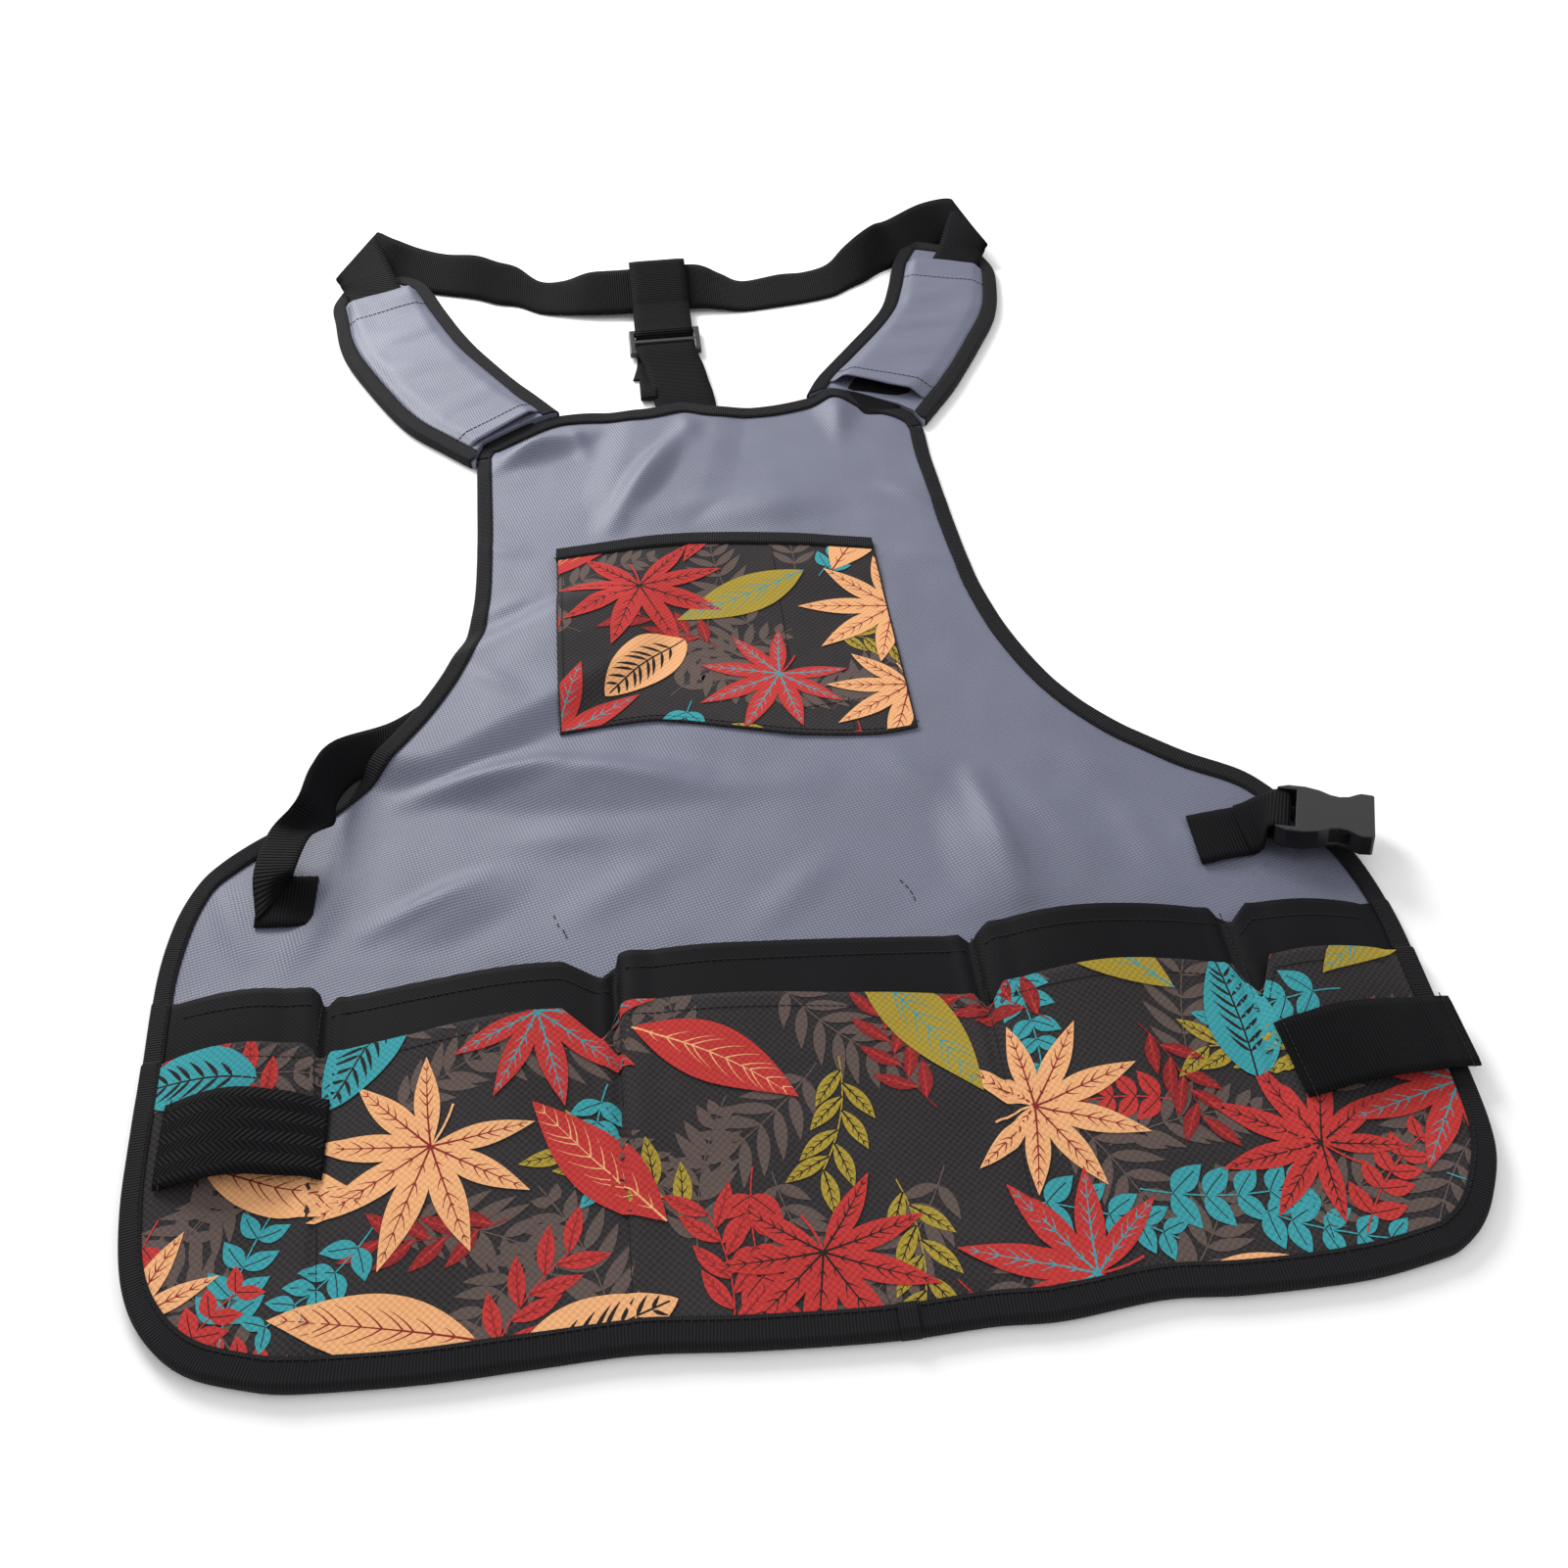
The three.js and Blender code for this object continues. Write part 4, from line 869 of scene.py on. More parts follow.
# Where the webbing folds over to run round the neck: outer and inner edge, outwards from the bib
leftTurnRows = [
    (-233.5, 808.0, 8.0, -192.4, 801.6, 8.0), (-236.5, 814.0, 11.0, -205.0, 838.0, 15.0),
    (-237.3, 819.7, 14.0, -213.5, 867.0, 22.0), (-212.0, 829.0, 1.5, -201.0, 860.7, 20.0),
    (-190.0, 820.9, 1.2, -183.3, 856.0, 13.5), (-171.4, 810.8, 1.2, -164.6, 846.6, 12.3),
    (-144.7, 799.6, 1.2, -143.0, 834.0, 16.0), (-130.0, 790.0, 1.2, -128.0, 824.0, 15.0),
]
rightTurnRows = [
    (208.0, 792.8, 9.0, 177.0, 803.5, 7.5), (210.5, 797.0, 11.5, 189.0, 832.0, 15.0),
    (210.6, 800.9, 14.0, 197.4, 854.0, 22.0), (187.0, 825.0, 2.0, 174.7, 855.7, 20.0),
    (153.0, 804.0, 1.2, 147.3, 838.8, 17.5),
]
# Round the neck: across, up, lean in degrees and layers beneath
neckRows = [
    (-0.429, 1.237, 74, 0), (-0.373, 1.218, 84, 0),
    (-0.310, 1.208, 82, 0.6), (-0.243, 1.200, 71, 1.2), (-0.170, 1.196, 69, 1.4),
    (-0.070, 1.196, 69, 1.4), (0.030, 1.196, 69, 1.4), (0.090, 1.192, 79, 0.8),
    (0.145, 1.190, 87, 0), (0.243, 1.195, 85, 0), (0.310, 1.200, 87, 0), (0.373, 1.208, 84, 0),
    (0.418, 1.222, 72, 0), (0.463, 1.235, 60, 0), (0.505, 1.251, 57, 0),
]


def sleeveStations(edges):
    stations = []
    for i, (out, inner) in enumerate(edges[:-2]):
        z = clothBase + pads["thick"] + 1.2 if i > 1 else (1.2, 4.6)[i]
        middle = (out + inner) / 2
        reach = (inner - out).normalized() * webbing["width"] / 2
        a, b = middle - reach, middle + reach
        stations.append(((a.x, a.y, z), (b.x, b.y, z)))
    return stations


def neckStation(across, up, lean, lift):
    # Lower and upper edge, leaning on the floor or on what lies beneath
    x, y = across * apron["halfWidth"], up * apron["length"]
    z = webbing["wall"] / 2 + 0.3 + lift * 1.9
    slope = math.radians(lean)
    return ((x, y, z), (x, y + webbing["width"] * math.sin(slope), z + webbing["width"] * math.cos(slope)))


def edgePairs(rows):
    return [(row[:3], row[3:]) for row in rows]


neck = webbingFrom("neck_webbing", [
    *sleeveStations(leftEdges), *edgePairs(leftTurnRows), *[neckStation(*row) for row in neckRows],
    *edgePairs(rightTurnRows)[::-1], *sleeveStations(rightEdges)[::-1],
], webbing["wall"], fineWebbing)
print("neck webbing made")

# Back strap: over the neck webbing, round the slider and under the bib
backStrap = {"x": -18.5, "drop": 31.0, "sliderLength": 30.0, "bar": 4.0, "inside": 2.4}
# Its middle hangs on the neck webbing's lower and upper edge there
(_, lowY, lowZ), (_, overY, overZ) = neckStation(*neckRows[5])
upperBarY = lowY - backStrap["drop"]
lowerBarY = upperBarY - backStrap["sliderLength"] + 2 * backStrap["bar"]


def backStation(y, z, shift=0.0, turn=0.0):
    x = backStrap["x"] + shift
    half = webbing["width"] / 2
    return (x + half, y + turn, z), (x - half, y - turn, z)


reach = backStrap["inside"] + 0.8
loopPath = [
    (upperBarY + 4, lowZ - reach), (lowY, lowZ - reach), (overY, overZ - reach * 1.1),
    (overY + 3.6, overZ + 0.6), (overY, overZ + reach * 1.1), (lowY + 8, lowZ + reach + 3.4),
    (lowY, lowZ + reach + 0.6), (upperBarY + 6, lowZ + reach), (upperBarY - 1, lowZ + reach),
    (upperBarY - reach - 0.6, lowZ), (upperBarY - 1, lowZ - reach), (upperBarY + 5, lowZ - reach + 0.1),
]
backLoop = webbingFrom("back_loop_webbing", [backStation(y, z) for y, z in loopPath],
                       webbing["slimWall"], fineWebbing, spacing=2.0)
lowerPath = [
    (lowerBarY - 26, 1.3, -4, 5), (lowerBarY - 12, lowZ - reach - 0.2, -1, 3),
    (lowerBarY - 4, lowZ - reach, 0, 0), (lowerBarY + 1, lowZ - reach, 0, 0),
    (lowerBarY + reach + 0.6, lowZ, 0, 0), (lowerBarY + 1, lowZ + reach, 0, 0),
    (lowerBarY - 7, lowZ + reach, 0.5, -0.5), (lowerBarY - 22, lowZ + 1.2, 4, -2),
    (lowerBarY - 40, 3.8, 6, -1.5), (lowerBarY - 58, 2.9, 8, -1), (lowerBarY - 75, 1.3, 8, -1),
    (lowerBarY - 110, 1.3, 2, 0), (lowerBarY - 170, 1.3, -16, 0),
]
backLower = webbingFrom("back_webbing", [backStation(*row) for row in lowerPath],
                        webbing["slimWall"], fineWebbing, spacing=2.0)
# The strap's folded end, beside the run: up and height
backEndRows = [(690, 1.2), (676, 1.6), (664, 3.0), (655, 4.6), (648, 3.4), (652, 1.8), (662, 1.2)]
backEnd = webbingFrom("back_end_webbing", [((-27.0, y, z), (-37.5, y - 1, z)) for y, z in backEndRows],
                      webbing["slimWall"], fineWebbing, spacing=2.0)
print("back strap made")

# Waist strap: from its sewn tab up to a standing fold and away under the bib
waistRows = [
    (-0.40, -0.40, 0.18, 0.10, 0.40, 0.18), (-0.50, 0.43, 0.30, 0.20, 0.13, 0.60),
    (-0.33, 1.20, 0.40, 0.40, 0.73, 0.70), (0.20, 1.30, 0.95, 0.62, 1.35, 0.30),
    (0.36, 1.98, 0.98, 0.62, 1.85, 0.27), (0.62, 2.75, 0.80, 0.86, 2.42, 0.16),
    (1.35, 3.86, 0.12, 1.42, 2.90, 0.04), (2.20, 4.63, 0.08, 2.45, 3.67, 0.04),
    (2.83, 5.00, 0.04, 3.33, 4.13, 0.04), (3.20, 5.27, 0.04, 3.70, 4.42, 0.04),
]
waistTab = {"x": -216.0, "y": 244.7, "length": 26.0}
slim = webbing["slimWidth"]
waist = webbingFrom("waist_webbing", [
    ((waistTab["x"] + r[0] * slim, waistTab["y"] + r[1] * slim, max(1.2, r[2] * slim)),
     (waistTab["x"] + r[3] * slim, waistTab["y"] + r[4] * slim, max(1.2, r[5] * slim))) for r in waistRows],
    webbing["slimWall"], fineWebbing)
tabZ = bodyTop(waistTab["x"], waistTab["y"]) + 1.2
tabPlaces = [waistTab["x"] + waistTab["length"] * (k / 4 - 0.5) for k in range(5)]
tab = webbingFrom("waist_tab_webbing", [
    ((x, waistTab["y"] + slim / 2 - k * 0.5, tabZ + 0.4 * math.sin(k)),
     (x, waistTab["y"] - slim / 2 - k * 0.5, tabZ + 0.2)) for k, x in enumerate(tabPlaces)],
    webbing["slimWall"], fineWebbing)


# Tool loops: the left one is coarse, the right one finer and passes the apron's edge
def loopPlaces(corners, share, count):
    # Places on a line across the loop, at a share of the way along it
    top = Vector(corners[0]).lerp(Vector(corners[1]), share)
    low = Vector(corners[3]).lerp(Vector(corners[2]), share)
    return [top.lerp(low, k / (count - 1)) for k in range(count)]


def loopHeight(p, share, bow, overEdge):
    arch = bow * math.sin(math.pi * min(1, max(0, (share - 0.03) / 0.94))) ** 0.8
    return printLow(min(258, max(-258, p.x)), p.y) + arch + overEdge * smooth((share - 0.72) / 0.15)


def toolLoop(side, material):
    loop = toolLoops[side]
    rows = [[(p.x, p.y, loopHeight(p, k / 12, loop["bow"], loop["overEdge"]) + 2.2)
             for p in loopPlaces(loop["corners"], k / 12, 2)] for k in range(13)]
    return webbingFrom(side + "_loop_webbing", rows, webbing["wall"], material, across=10, spacing=2.5)


toolLoops = {
    "left": {"corners": [(-251, 133), (-186, 128), (-186, 91), (-251, 95)], "bow": 6.5, "overEdge": 0},
    "right": {"corners": [(196, 116), (272, 122), (272, 87), (199, 80)], "bow": 6.0, "overEdge": 1.6},
}
leftLoop = toolLoop("left", coarseWebbing)
rightLoop = toolLoop("right", fineWebbing)
print("waist strap, tab and tool loops made")


# Hard pieces: the solids themselves, with their doubles merged and their edges softened
def softened(node, name, material, width, segments=2):
    net = bmesh.new()
    net.from_mesh(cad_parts[node].data)
    bmesh.ops.remove_doubles(net, verts=net.verts, dist=1e-6)
    bmesh.ops.dissolve_limit(net, angle_limit=0.01, verts=net.verts, edges=net.edges)
    mesh = bpy.data.meshes.new(name)
    net.to_mesh(mesh)
    net.free()
    mesh.materials.append(material)
    obj = placed(name, mesh)
    bevel = obj.modifiers.new("soft edges", "BEVEL")
    bevel.width = width / 1000
    bevel.segments = segments
    bevel.limit_method = "ANGLE"
    bevel.angle_limit = math.radians(35)
    return obj


socket = softened("buckle_socket", "buckle_socket_shell", acetal, 0.7, 3)
slider = softened("back_slider", "back_slider_frame", acetal, 0.8, 3)
plug = softened("waist_plug", "waist_plug_shell", acetal, 0.5)

# The webbing that holds the socket: sewn flat, then round the socket's bar and back on itself
socketPlace = {"at": (236.4, 229.8, 12.5), "yaw": -21, "pitch": -4, "roll": -10, "bar": 2.9}
socketTurn = (Matrix.Translation(socketPlace["at"])
              @ Matrix.Rotation(math.radians(socketPlace["yaw"]), 4, "Z")
              @ Matrix.Rotation(math.radians(socketPlace["pitch"]), 4, "Y")
              @ Matrix.Rotation(math.radians(socketPlace["roll"]), 4, "X"))


def besideSocket(x, high, low, lift):
    # Both edges as places beside the socket, resting on the body
    ends = [(socketPlace["at"][0] + x + lean, socketPlace["at"][1] + up) for lean, up in (high, low)]
    rest = max(bodyTop(lerp(ends[0][0], ends[1][0], k / 6), lerp(ends[0][1], ends[1][1], k / 6))
               for k in range(7))
    return tuple((px, py, rest + 0.9 + lift) for px, py in ends)


def onSocket(x, z):
    half = webbing["slimWidth"] / 2
    bar = socketPlace["bar"]
    return tuple(tuple(socketTurn @ Vector((x * bar, side * half, z * bar))) for side in (1, -1))


buckleTab = webbingFrom("buckle_tab_webbing", [
    besideSocket(-34, (-6, 12.5), (-7, -18), 0), besideSocket(-24, (-4, 13), (-4, -16.8), 0),
    besideSocket(-14, (-1, 13.5), (-1, -16.2), 1.0), onSocket(-1.9, -1.0), onSocket(-0.3, -1.15),
    onSocket(0.85, -0.8), onSocket(1.15, 0), onSocket(0.85, 0.8), onSocket(-0.3, 1.15),
    onSocket(-1.9, 1.1), besideSocket(-12, (-1, 13.5), (-1, -16.2), 3.6),
    besideSocket(-16, (-2, 13.2), (-2, -16.4), 2.0),
], webbing["slimWall"], fineWebbing, spacing=2.0)

# Leaves of this part's own on the canvas: stars, ovals, broad leaves, sprays and ferns
leafPrint = {
    "seed": 23, "bigStep": 60.0, "smallStep": 33.0, "fernStep": 42.0, "sideInset": 5.5, "hemInset": 8.5,
    "lowerBox": (-270, 0, 274, 162), "chestBox": (-98, 316, 90, 498),
    "inks": {
        "red": ("#bf3b38", "#9c2d2c"), "teal": ("#3f9aa2", "#30848d"), "peach": ("#e8ae7c", "#d29665"),
        "mustard": ("#a8923a", "#8e7a2a"), "taupe": ("#62544f", "#4f4441"), "wine": ("#8c2b2c", "#752224"),
        "soot": ("#2a2524", "#201c1b"),
    },
}
# Pigment inks over the canvas's own weave
inkNames = list(leafPrint["inks"])
inks = [wovenCloth("pigment_ink_" + key, light, shade, clothLook["printThread"], 0.85, 0.12, 0.15)
        for key, (light, shade) in leafPrint["inks"].items()]


def towards(turn):
    return Vector((math.cos(turn), math.sin(turn)))


def bulge(half, power, least=0.1):
    # Half widths along a strip that is widest about its middle
    return lambda t: half * math.sin(math.pi * t ** power) + least


def taper(half, least):
    return lambda t: half * (1 - t) + least


def leafStrip(origin, turn, length, widthAt, bend=0.0, step=3.0):
    # Rows of points up a bent midrib
    rows = []
    steps = max(3, round(length / step))
    for k in range(steps + 1):
        share = k / steps
        heading = turn + bend * share
        if k:
            origin = origin + towards(heading) * (length / steps)
        side = Vector((-math.sin(heading), math.cos(heading)))
        half = widthAt(share)
        rows.append([origin + side * half, origin, origin - side * half])
    return rows


def rowAt(strip, share):
    return strip[min(len(strip) - 1, round(share * (len(strip) - 1)))]


# Each motif is a list of parts: (strip, ink, 0 for a fern, 1 for a leaf or 2 for a vein)
def bladeWith(spot, turn, length, slim, fill, vein, bend=0.0, ribs=5, heavy=0.3):
    # One pointed leaf with its midrib and side veins
    blade = leafStrip(spot, turn, length, bulge(length * slim, 0.9, 0.08), bend, length / 20)
    midrib = leafStrip(spot, turn, length * 0.93, taper(heavy, 0.1), bend, 4.0)
    parts = [(blade, fill, 1), (midrib, vein, 2)]
    for k in range(1, ribs + 1):
        share = (k + 0.2) / (ribs + 1.4)
        row = rowAt(blade, share)
        reach = (row[0] - row[1]).length * 1.1
        for sign in (-1, 1):
            parts.append((leafStrip(row[1], turn + bend * share + sign * 0.8, reach,
                                    taper(heavy * 0.75, 0.06), -sign * 0.4, 3.5), vein, 2))
    return parts


def starLeaf(spot, turn, size, fill, vein, rng):
    parts = []
    for aside in [k - 3.5 for k in range(8)]:
        reach = size * (1.0 - 0.075 * abs(aside))
        parts += bladeWith(spot, turn + aside * 0.66, reach, 0.125, fill, vein, 0.12 * aside / 3, 6, 0.36)
    parts.append((leafStrip(spot, turn + math.pi, size * 0.35, lambda t: 0.5, 0.4), fill, 1))
    return parts


def ovalLeaf(spot, turn, size, fill, vein, rng):
    # A wide leaf with heavy slanting bars
    start = spot - towards(turn) * size * 0.6
    length = size * 1.25
    blade = leafStrip(start, turn, length,
                      lambda t: length * 0.24 * math.sin(math.pi * t ** 0.8) ** 0.8 + 0.1, 0.2, 2.0)
    parts = [(blade, fill, 1), (leafStrip(start, turn, length * 0.95, lambda t: 0.4, 0.2, 4.0), vein, 2)]
    for k in range(2, 10):
        row = rowAt(blade, k / 11)
        reach = (row[0] - row[1]).length * 0.86
        for sign in (-1, 1):
            parts.append((leafStrip(row[1], turn + 0.2 * k / 11 + sign * 0.95, reach,
                                    bulge(0.75, 0.7), -sign * 0.3, 2.5), vein, 2))
    return parts


def broadLeaf(spot, turn, size, fill, vein, rng):
    start = spot - towards(turn) * size * 0.7
    return bladeWith(start, turn, size * 1.5, 0.17, fill, vein, rng.uniform(-0.4, 0.4), 10, 0.36)


def roundSpray(spot, turn, size, fill, vein, rng):
    bend = rng.choice([-0.5, 0.5])
    stem = leafStrip(spot, turn, size * 1.9, lambda t: 0.32, bend)
    parts = [(stem, fill, 1)]
    for k in range(1, 6):
        place = rowAt(stem, k / 5.4)[1]
        reach = size * (0.54 - 0.035 * k)
        for sign in (-1, 1):
            heading = turn + bend * k / 5.4 + sign * 1.0
            leaf = leafStrip(place, heading, reach, bulge(reach * 0.27, 0.8, 0.08), -sign * 0.2, reach / 9)
            rib = leafStrip(place, heading, reach * 0.75, lambda t: 0.2, -sign * 0.15, 4.0)
            parts += [(leaf, fill, 1), (rib, vein, 2)]
    return parts


def slimSpray(spot, turn, size, fill, vein, rng):
    bend = rng.choice([-0.6, 0.6])
    stem = leafStrip(spot, turn, size * 1.7, lambda t: 0.3, bend)
    parts = [(stem, fill, 1)]
    for k in range(1, 9):
        sign = -1 if k % 2 else 1
        heading = turn + bend * k / 8 + sign * 0.75
        parts += bladeWith(rowAt(stem, k / 8)[1], heading, size * 0.66, 0.16, fill, vein, -sign * 0.2, 4)
    return parts


def fern(spot, turn, size, fill, rng, count=9):
    bend = rng.choice([-0.5, 0.5])
    stem = leafStrip(spot, turn, size * 1.8, lambda t: 0.3, bend)
    parts = [(stem, fill, 0)]
    for k in range(1, count):
        place = rowAt(stem, k / count)[1]
        reach = size * 0.5 * math.sin(math.pi * (0.2 + 0.75 * k / count))
        for sign in (-1, 1):
            heading = turn + bend * k / count + sign * 0.95
            parts.append((leafStrip(place, heading, reach, bulge(2.5, 0.8), -sign * 0.2, 3.0), fill, 0))
    return parts


def widened(strip):
    # Wide leaves get more points across, so that they follow the cloth
    while max((row[0] - row[1]).length for row in strip) > 3.5:
        strip = [[p for a, b in zip(row, row[1:]) for p in (a, (a + b) / 2)] + [row[-1]] for row in strip]
    return strip


def scattered(box, step, rng, keepOff, clear):
    spots = []
    for _ in range(2600):
        spot = Vector((rng.uniform(box[0], box[2]), rng.uniform(box[1], box[3])))
        if all((spot - other).length > step for other in spots):
            if all((spot - other).length > clear for other in keepOff):
                spots.append(spot)
    return spots


bigKinds = [
    (starLeaf, "red", "teal"), (ovalLeaf, "peach", "soot"), (broadLeaf, "mustard", "teal"),
    (starLeaf, "peach", "wine"), (broadLeaf, "red", "peach"), (ovalLeaf, "teal", "soot"),
    (starLeaf, "red", "soot"), (broadLeaf, "peach", "wine"),
]
smallKinds = [
    (roundSpray, "teal", "soot"), (slimSpray, "red", "wine"), (slimSpray, "mustard", "soot"),
    (roundSpray, "teal", "soot"), (slimSpray, "wine", "red"), (roundSpray, "red", "soot"),
]


def motifsIn(box, seed):
    # (parts, height above the cloth): ferns lowest, then sprays, then the big leaves
    rng = random.Random(seed)
    motifs = []
    for n, spot in enumerate(scattered(box, leafPrint["fernStep"], rng, [], 0)):
        leaf = fern(spot, rng.uniform(0, 6.28), rng.uniform(36, 46), "taupe", rng)
        motifs.append((leaf, 0.08 + 0.02 * (n % 7)))
    big = scattered(box, leafPrint["bigStep"], rng, [], 0)
    small = scattered(box, leafPrint["smallStep"], rng, big, 38)
    for n, spot in enumerate(small):
        maker, fill, vein = smallKinds[(n + seed) % len(smallKinds)]
        leaf = maker(spot, rng.uniform(0, 6.28), rng.uniform(27, 34), fill, vein, rng)
        motifs.append((leaf, 0.24 + 0.04 * (n % 5)))
    for n, spot in enumerate(big):
        maker, fill, vein = bigKinds[(n * 3 + seed) % len(bigKinds)]
        leaf = maker(spot, rng.uniform(0, 6.28), rng.uniform(46, 56), fill, vein, rng)
        motifs.append((leaf, 0.47 + 0.05 * (n % 4)))
    return motifs


def flatArea(corners):
    # Twice the area of a face as seen from above
    return abs(sum(a[0] * b[1] - b[0] * a[1] for a, b in zip(corners, corners[1:] + corners[:1])))


def cleaned(net):
    # No loose points, and every face turned up
    bmesh.ops.delete(net, geom=[vert for vert in net.verts if not vert.link_faces], context="VERTS")
    for face in net.faces:
        if face.normal.z < 0:
            face.normal_flip()


def leavesOn(name, heightAt, inside, box, seed):
    points, faces, slots = [], [], []
    for parts, level in motifsIn(box, seed):
        for n, (strip, ink, part) in enumerate(parts):
            strip = widened(strip)
            lift = level + 0.03 * (part == 2) + 0.003 * (n % 6)
            start, across = len(points), len(strip[0])
            for q in [inside(p) for row in strip for p in row]:
                points.append((q.x, q.y, heightAt(q.x, q.y) + apron["clothWall"] + lift))
            for k in range(len(strip) - 1):
                for j in range(across - 1):
                    a = start + across * k + j
                    quad = (a, a + 1, a + across + 1, a + across)
                    if flatArea([points[i] for i in quad]) > 0.03:
                        faces.append(quad)
                        slots.append(inkNames.index(ink))
    obj = meshFrom(name, points, faces, [point[:2] for point in points], inks[0])
    for ink in inks[1:]:
        obj.data.materials.append(ink)
    obj.data.polygons.foreach_set("material_index", slots)
    reworked(obj.data, cleaned)
    return obj


def insideLower(p):
    # Under the tapes' inner edges and below the mouth
    inset = leafPrint["sideInset"]
    x = min(valueAt(rightWidth, p.y) - inset, max(-valueAt(leftWidth, p.y) + inset, p.x))
    return Vector((x, min(mouthAt("print", x) - 0.3, max(valueAt(hemRows, x) + leafPrint["hemInset"], p.y))))


def insideChest(p):
    x = min(83, max(-91, p.x))
    return Vector((x, min(valueAt(chestTop, x) - 4, max(valueAt(chestBottom, x) + 0.8, p.y))))


lowerLeaves = leavesOn("printed_pocket_leaves", printLow, insideLower,
                       leafPrint["lowerBox"], leafPrint["seed"])
chestLeaves = leavesOn("chest_pocket_leaves", chestLow, insideChest,
                       leafPrint["chestBox"], leafPrint["seed"] + 9)
print("leaves printed:", len(lowerLeaves.data.polygons) + len(chestLeaves.data.polygons), "faces")

# Stitches: a thread bead at even steps along each seam, made by one node tree
stitch = {"step": 3.0, "length": 2.3, "radius": 0.28}


def stitchTree(material):
    tree = bpy.data.node_groups.new("stitches", "GeometryNodeTree")
    tree.interface.new_socket("Seams", in_out="INPUT", socket_type="NodeSocketGeometry")
    for label in ("Step", "Length", "Radius"):
        tree.interface.new_socket(label, in_out="INPUT", socket_type="NodeSocketFloat")
    tree.interface.new_socket("Stitches", in_out="OUTPUT", socket_type="NodeSocketGeometry")
    start = addNode(tree, "NodeGroupInput")
    curve = addNode(tree, "GeometryNodeMeshToCurve", {}, {"Mesh": start.outputs["Seams"]})
    spots = addNode(tree, "GeometryNodeCurveToPoints", {"mode": "LENGTH"}, {
        "Curve": curve.outputs["Curve"], "Length": start.outputs["Step"]})
    bead = addNode(tree, "GeometryNodeMeshCylinder", {"fill_type": "TRIANGLE_FAN"}, {
        "Vertices": 5, "Radius": start.outputs["Radius"], "Depth": start.outputs["Length"]})
    beads = addNode(tree, "GeometryNodeInstanceOnPoints", {}, {
        "Points": spots.outputs["Points"], "Instance": bead.outputs["Mesh"],
        "Rotation": spots.outputs["Rotation"]})
    real = addNode(tree, "GeometryNodeRealizeInstances", {}, {"Geometry": beads.outputs["Instances"]})
    dressed = addNode(tree, "GeometryNodeSetMaterial", {}, {
        "Geometry": real.outputs["Geometry"], "Material": material})
    addNode(tree, "NodeGroupOutput", {}, {"Stitches": dressed.outputs["Geometry"]})
    return tree


def stitched(name, lines, material):
    points, edges = [], []
    for line in lines:
        for k, p in enumerate(line):
            if k:
                edges.append((len(points) - 1, len(points)))
            points.append(toFrame(*p))
    mesh = bpy.data.meshes.new(name + "_seams")
    mesh.from_pydata(points, edges, [])
    holder = placed(name + "_seams", mesh)
    modifier = holder.modifiers.new("stitches", "NODES")
    modifier.node_group = stitchTree(material)
    sizes = {"Step": stitch["step"], "Length": stitch["length"], "Radius": stitch["radius"]}
    for item in modifier.node_group.interface.items_tree:
        if item.in_out == "INPUT" and item.name in sizes:
            modifier[item.identifier] = sizes[item.name] / 1000
    plain = meshWithModifiers(holder)
    holder.modifiers.remove(modifier)
    bpy.data.objects.remove(holder)
    return placed(name, plain)


def lineOn(line, heightAt, proud):
    return [(p.x, p.y, heightAt(p.x, p.y) + proud) for p in line]


def seamOn(points, heightAt, proud=0.15):
    return lineOn(smoothLine(points, 3.0), heightAt, proud)


def topOf(heightAt):
    return lambda x, y: heightAt(x, y) + apron["clothWall"]


def mouthSeam(layer, row, drop):
    x0, x1 = row[0] + 5, row[1] - 5
    heightAt = topOf(printLow if layer == "print" else darkLow)
    return [(x, mouthAt(layer, x) - drop, heightAt(x, mouthAt(layer, x) - drop) + 0.15)
            for x in [lerp(x0, x1, k / 30) for k in range(31)]]


darkSeams = [mouthSeam("dark", row, 9) for row in pocketRows]
printSeams = [mouthSeam("print", row, 7) for row in pocketRows]
for row in pocketRows[:-1]:
    foot = row[1] + valueAt(seamLeans, row[1])
    printSeams.append(seamOn([(foot, 22), (lerp(foot, row[1], 0.5), 90), (row[1], 149)], topOf(printLow)))
    darkSeams.append(seamOn([(row[1], 158), (row[1], 180)], topOf(darkLow)))
chestSeams = [
    seamOn([(-89, 342), (-89, 484)], topOf(chestLow)), seamOn([(81, 324), (81, 474)], topOf(chestLow)),
    seamOn([(27, 328), (27, 480)], topOf(chestLow)), seamOn([(53, 323), (53, 346)], topOf(chestLow)),
    seamOn([(x, y + 3) for x, y in chestBottom], topOf(chestLow)),
    seamOn([(27, 342), (83, 347)], topOf(chestLow)),
]


def offsetLine(line):
    shifted = []
    for i, p in enumerate(line):
        run = (line[min(len(line) - 1, i + 1)] - line[max(0, i - 1)]).normalized()
        shifted.append(p + Vector((-run.y, run.x)) * (tapeWidth(run) - 1.5))
    return shifted


tapeSeams = [lineOn(offsetLine(rounded(edge)), stackTop, 1.05) for edge in (leftEdge, rightEdge, topEdge)]
tapeSeams.append(lineOn(offsetLine(chestMouth[::-1]), topOf(chestLow), 1.05))
webbingSeams = [[(x, y, z + 0.15) for x, y, z in rows[k]] for rows, k in (
    (leftRows, -9), (leftRows, 4), (rightRows, -9), (rightRows, 5))]
for loop in toolLoops.values():
    for share in (0.04, 0.95):
        webbingSeams.append([(p.x, p.y, loopHeight(p, share, 6.2, loop["overEdge"]) + 3.3)
                             for p in loopPlaces(loop["corners"], share, 9)])

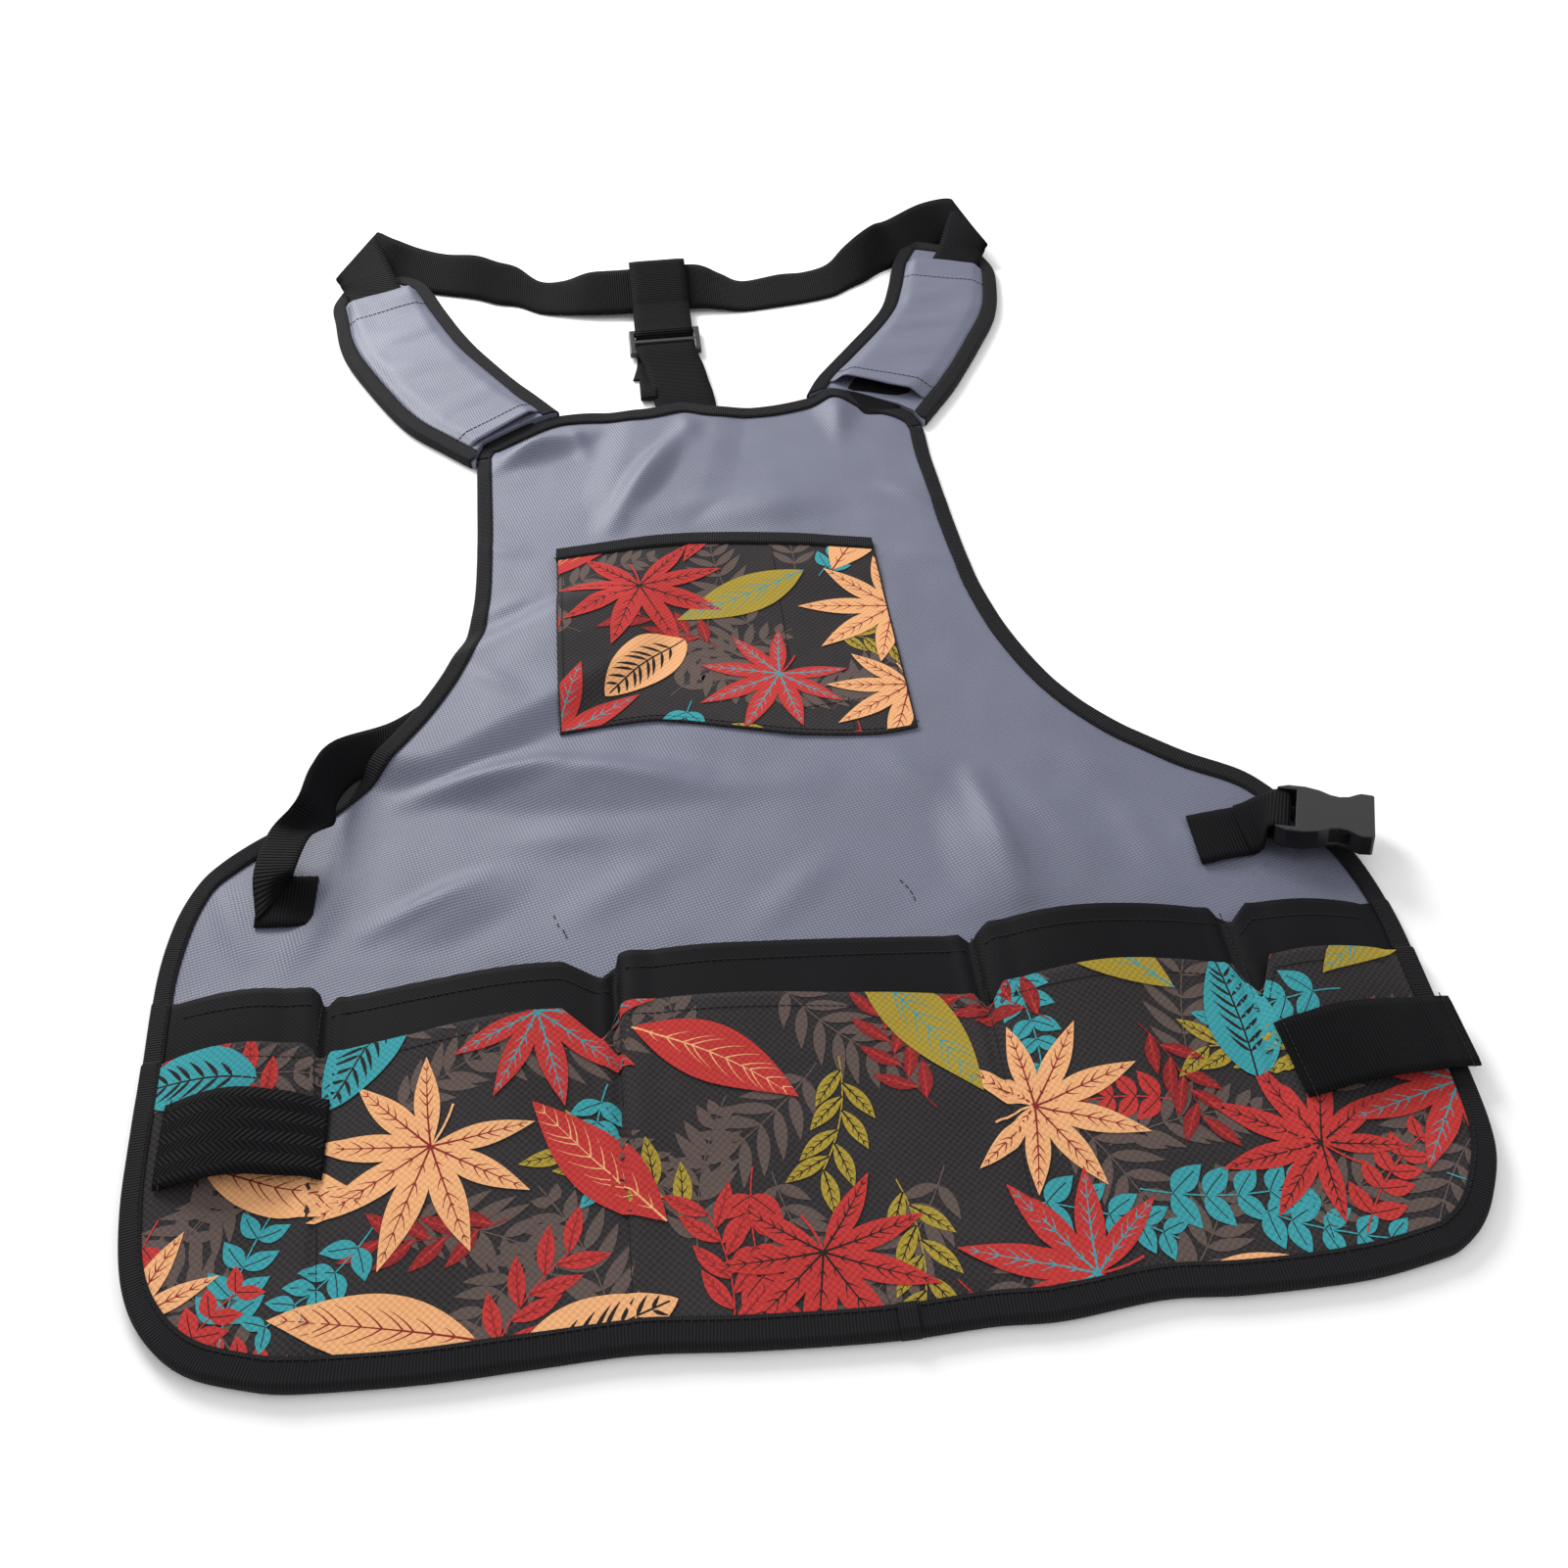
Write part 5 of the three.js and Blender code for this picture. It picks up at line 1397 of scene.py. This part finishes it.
# Thread left on the cloth
marks = [seamOn(points, bodyTop, 0.1) for points in (
    [(-96, 219), (-94.5, 214)], [(-92, 210), (-91, 207)], [(60, 221), (63, 215), (64, 210)])]
blackSeams = darkSeams + chestSeams + tapeSeams + webbingSeams + marks
darkStitches = stitched("black_stitches", blackSeams, blackThread)
printStitches = stitched("print_stitches", printSeams, blackThread)
print("stitches made")

# What each piece is held by, and what it stands for
pieces = [
    (body, ["body_panel"]), (dark, ["dark_pockets"]), (printed, ["print_pockets"]),
    (lowerLeaves, []), (chestLeaves, []),
    (topTape, ["bib_top_binding"]), (leftTape, ["left_binding"]), (rightTape, ["right_binding"]),
    (chestCloth, ["chest_pocket"]), (chestTape, ["chest_pocket_band"]),
    (leftLoop, ["left_tool_loop"]), (rightLoop, ["right_tool_loop"]),
    (leftPad, ["left_pad"]), (leftPadTape, ["left_pad_binding"]), (leftSleeve, ["left_pad_sleeve"]),
    (rightPad, ["right_pad"]), (rightPadTape, ["right_pad_binding"]), (rightSleeve, ["right_pad_sleeve"]),
    (neck, ["neck_strap"]), (backLoop, ["back_strap_loop"]), (slider, ["back_slider"]),
    (backLower, ["back_strap"]), (backEnd, []), (hemFlap, []), (tab, ["waist_tab"]),
    (waist, ["waist_strap"]), (plug, ["waist_plug"]),
    (socket, ["buckle_socket"]), (buckleTab, ["buckle_tab"]),
    (darkStitches, []), (printStitches, []),
]
for obj, nodes in pieces:
    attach(obj, "root")
    if nodes:
        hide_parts(*nodes)
# Floor, light and camera
studio = {"floor": "#ffffff", "world": 0.70, "key": 34.0, "fill": 4.0}
floorMesh = bpy.data.meshes.new("floor")
floorMesh.from_pydata([(-6, -6, 0), (6, -6, 0), (6, 6, 0), (-6, 6, 0)], [], [(0, 1, 2, 3)])
# White paper: matt
floorMesh.materials.append(plainMaterial("white_paper", studio["floor"], 0.9, 0.1))
floor = placed("floor", floorMesh)

bpy.context.scene.view_settings.view_transform = "Standard"
world = bpy.data.worlds.new("studio")
world.use_nodes = True
world.node_tree.nodes["Background"].inputs["Color"].default_value = (1, 1, 1, 1)
world.node_tree.nodes["Background"].inputs["Strength"].default_value = studio["world"]
bpy.context.scene.world = world


def softLight(name, place, power, size):
    data = bpy.data.lights.new(name, "AREA")
    data.energy = power
    data.size = size
    light = placed(name, data)
    light.location = place
    light.rotation_mode = "QUATERNION"
    light.rotation_quaternion = (-Vector(place)).to_track_quat("-Z", "Y")


softLight("key", (-0.7, 1.35, 1.0), studio["key"], 0.8)
softLight("fill", (1.2, -0.4, 1.4), studio["fill"], 1.2)

cameraView = {
    "place": (-34.269, -286.399, 561.863), "right": (0.99384, -0.10789, -0.02516),
    "up": (0.09298, 0.68887, 0.71890), "lens": 38.6187,
}
cameraData = bpy.data.cameras.new("photo angle")
cameraData.lens = cameraView["lens"]
cameraData.sensor_width = 36
camera = placed("photo angle", cameraData)
rightAxis, upAxis = Vector(cameraView["right"]), Vector(cameraView["up"])
backAxis = rightAxis.cross(upAxis)
turned = Matrix((rightAxis, upAxis, backAxis)).transposed().to_4x4()
turned.translation = toFrame(*cameraView["place"])
camera.matrix_world = turned
cameraData.clip_start = 0.01
bpy.context.scene.camera = camera
print("studio set")
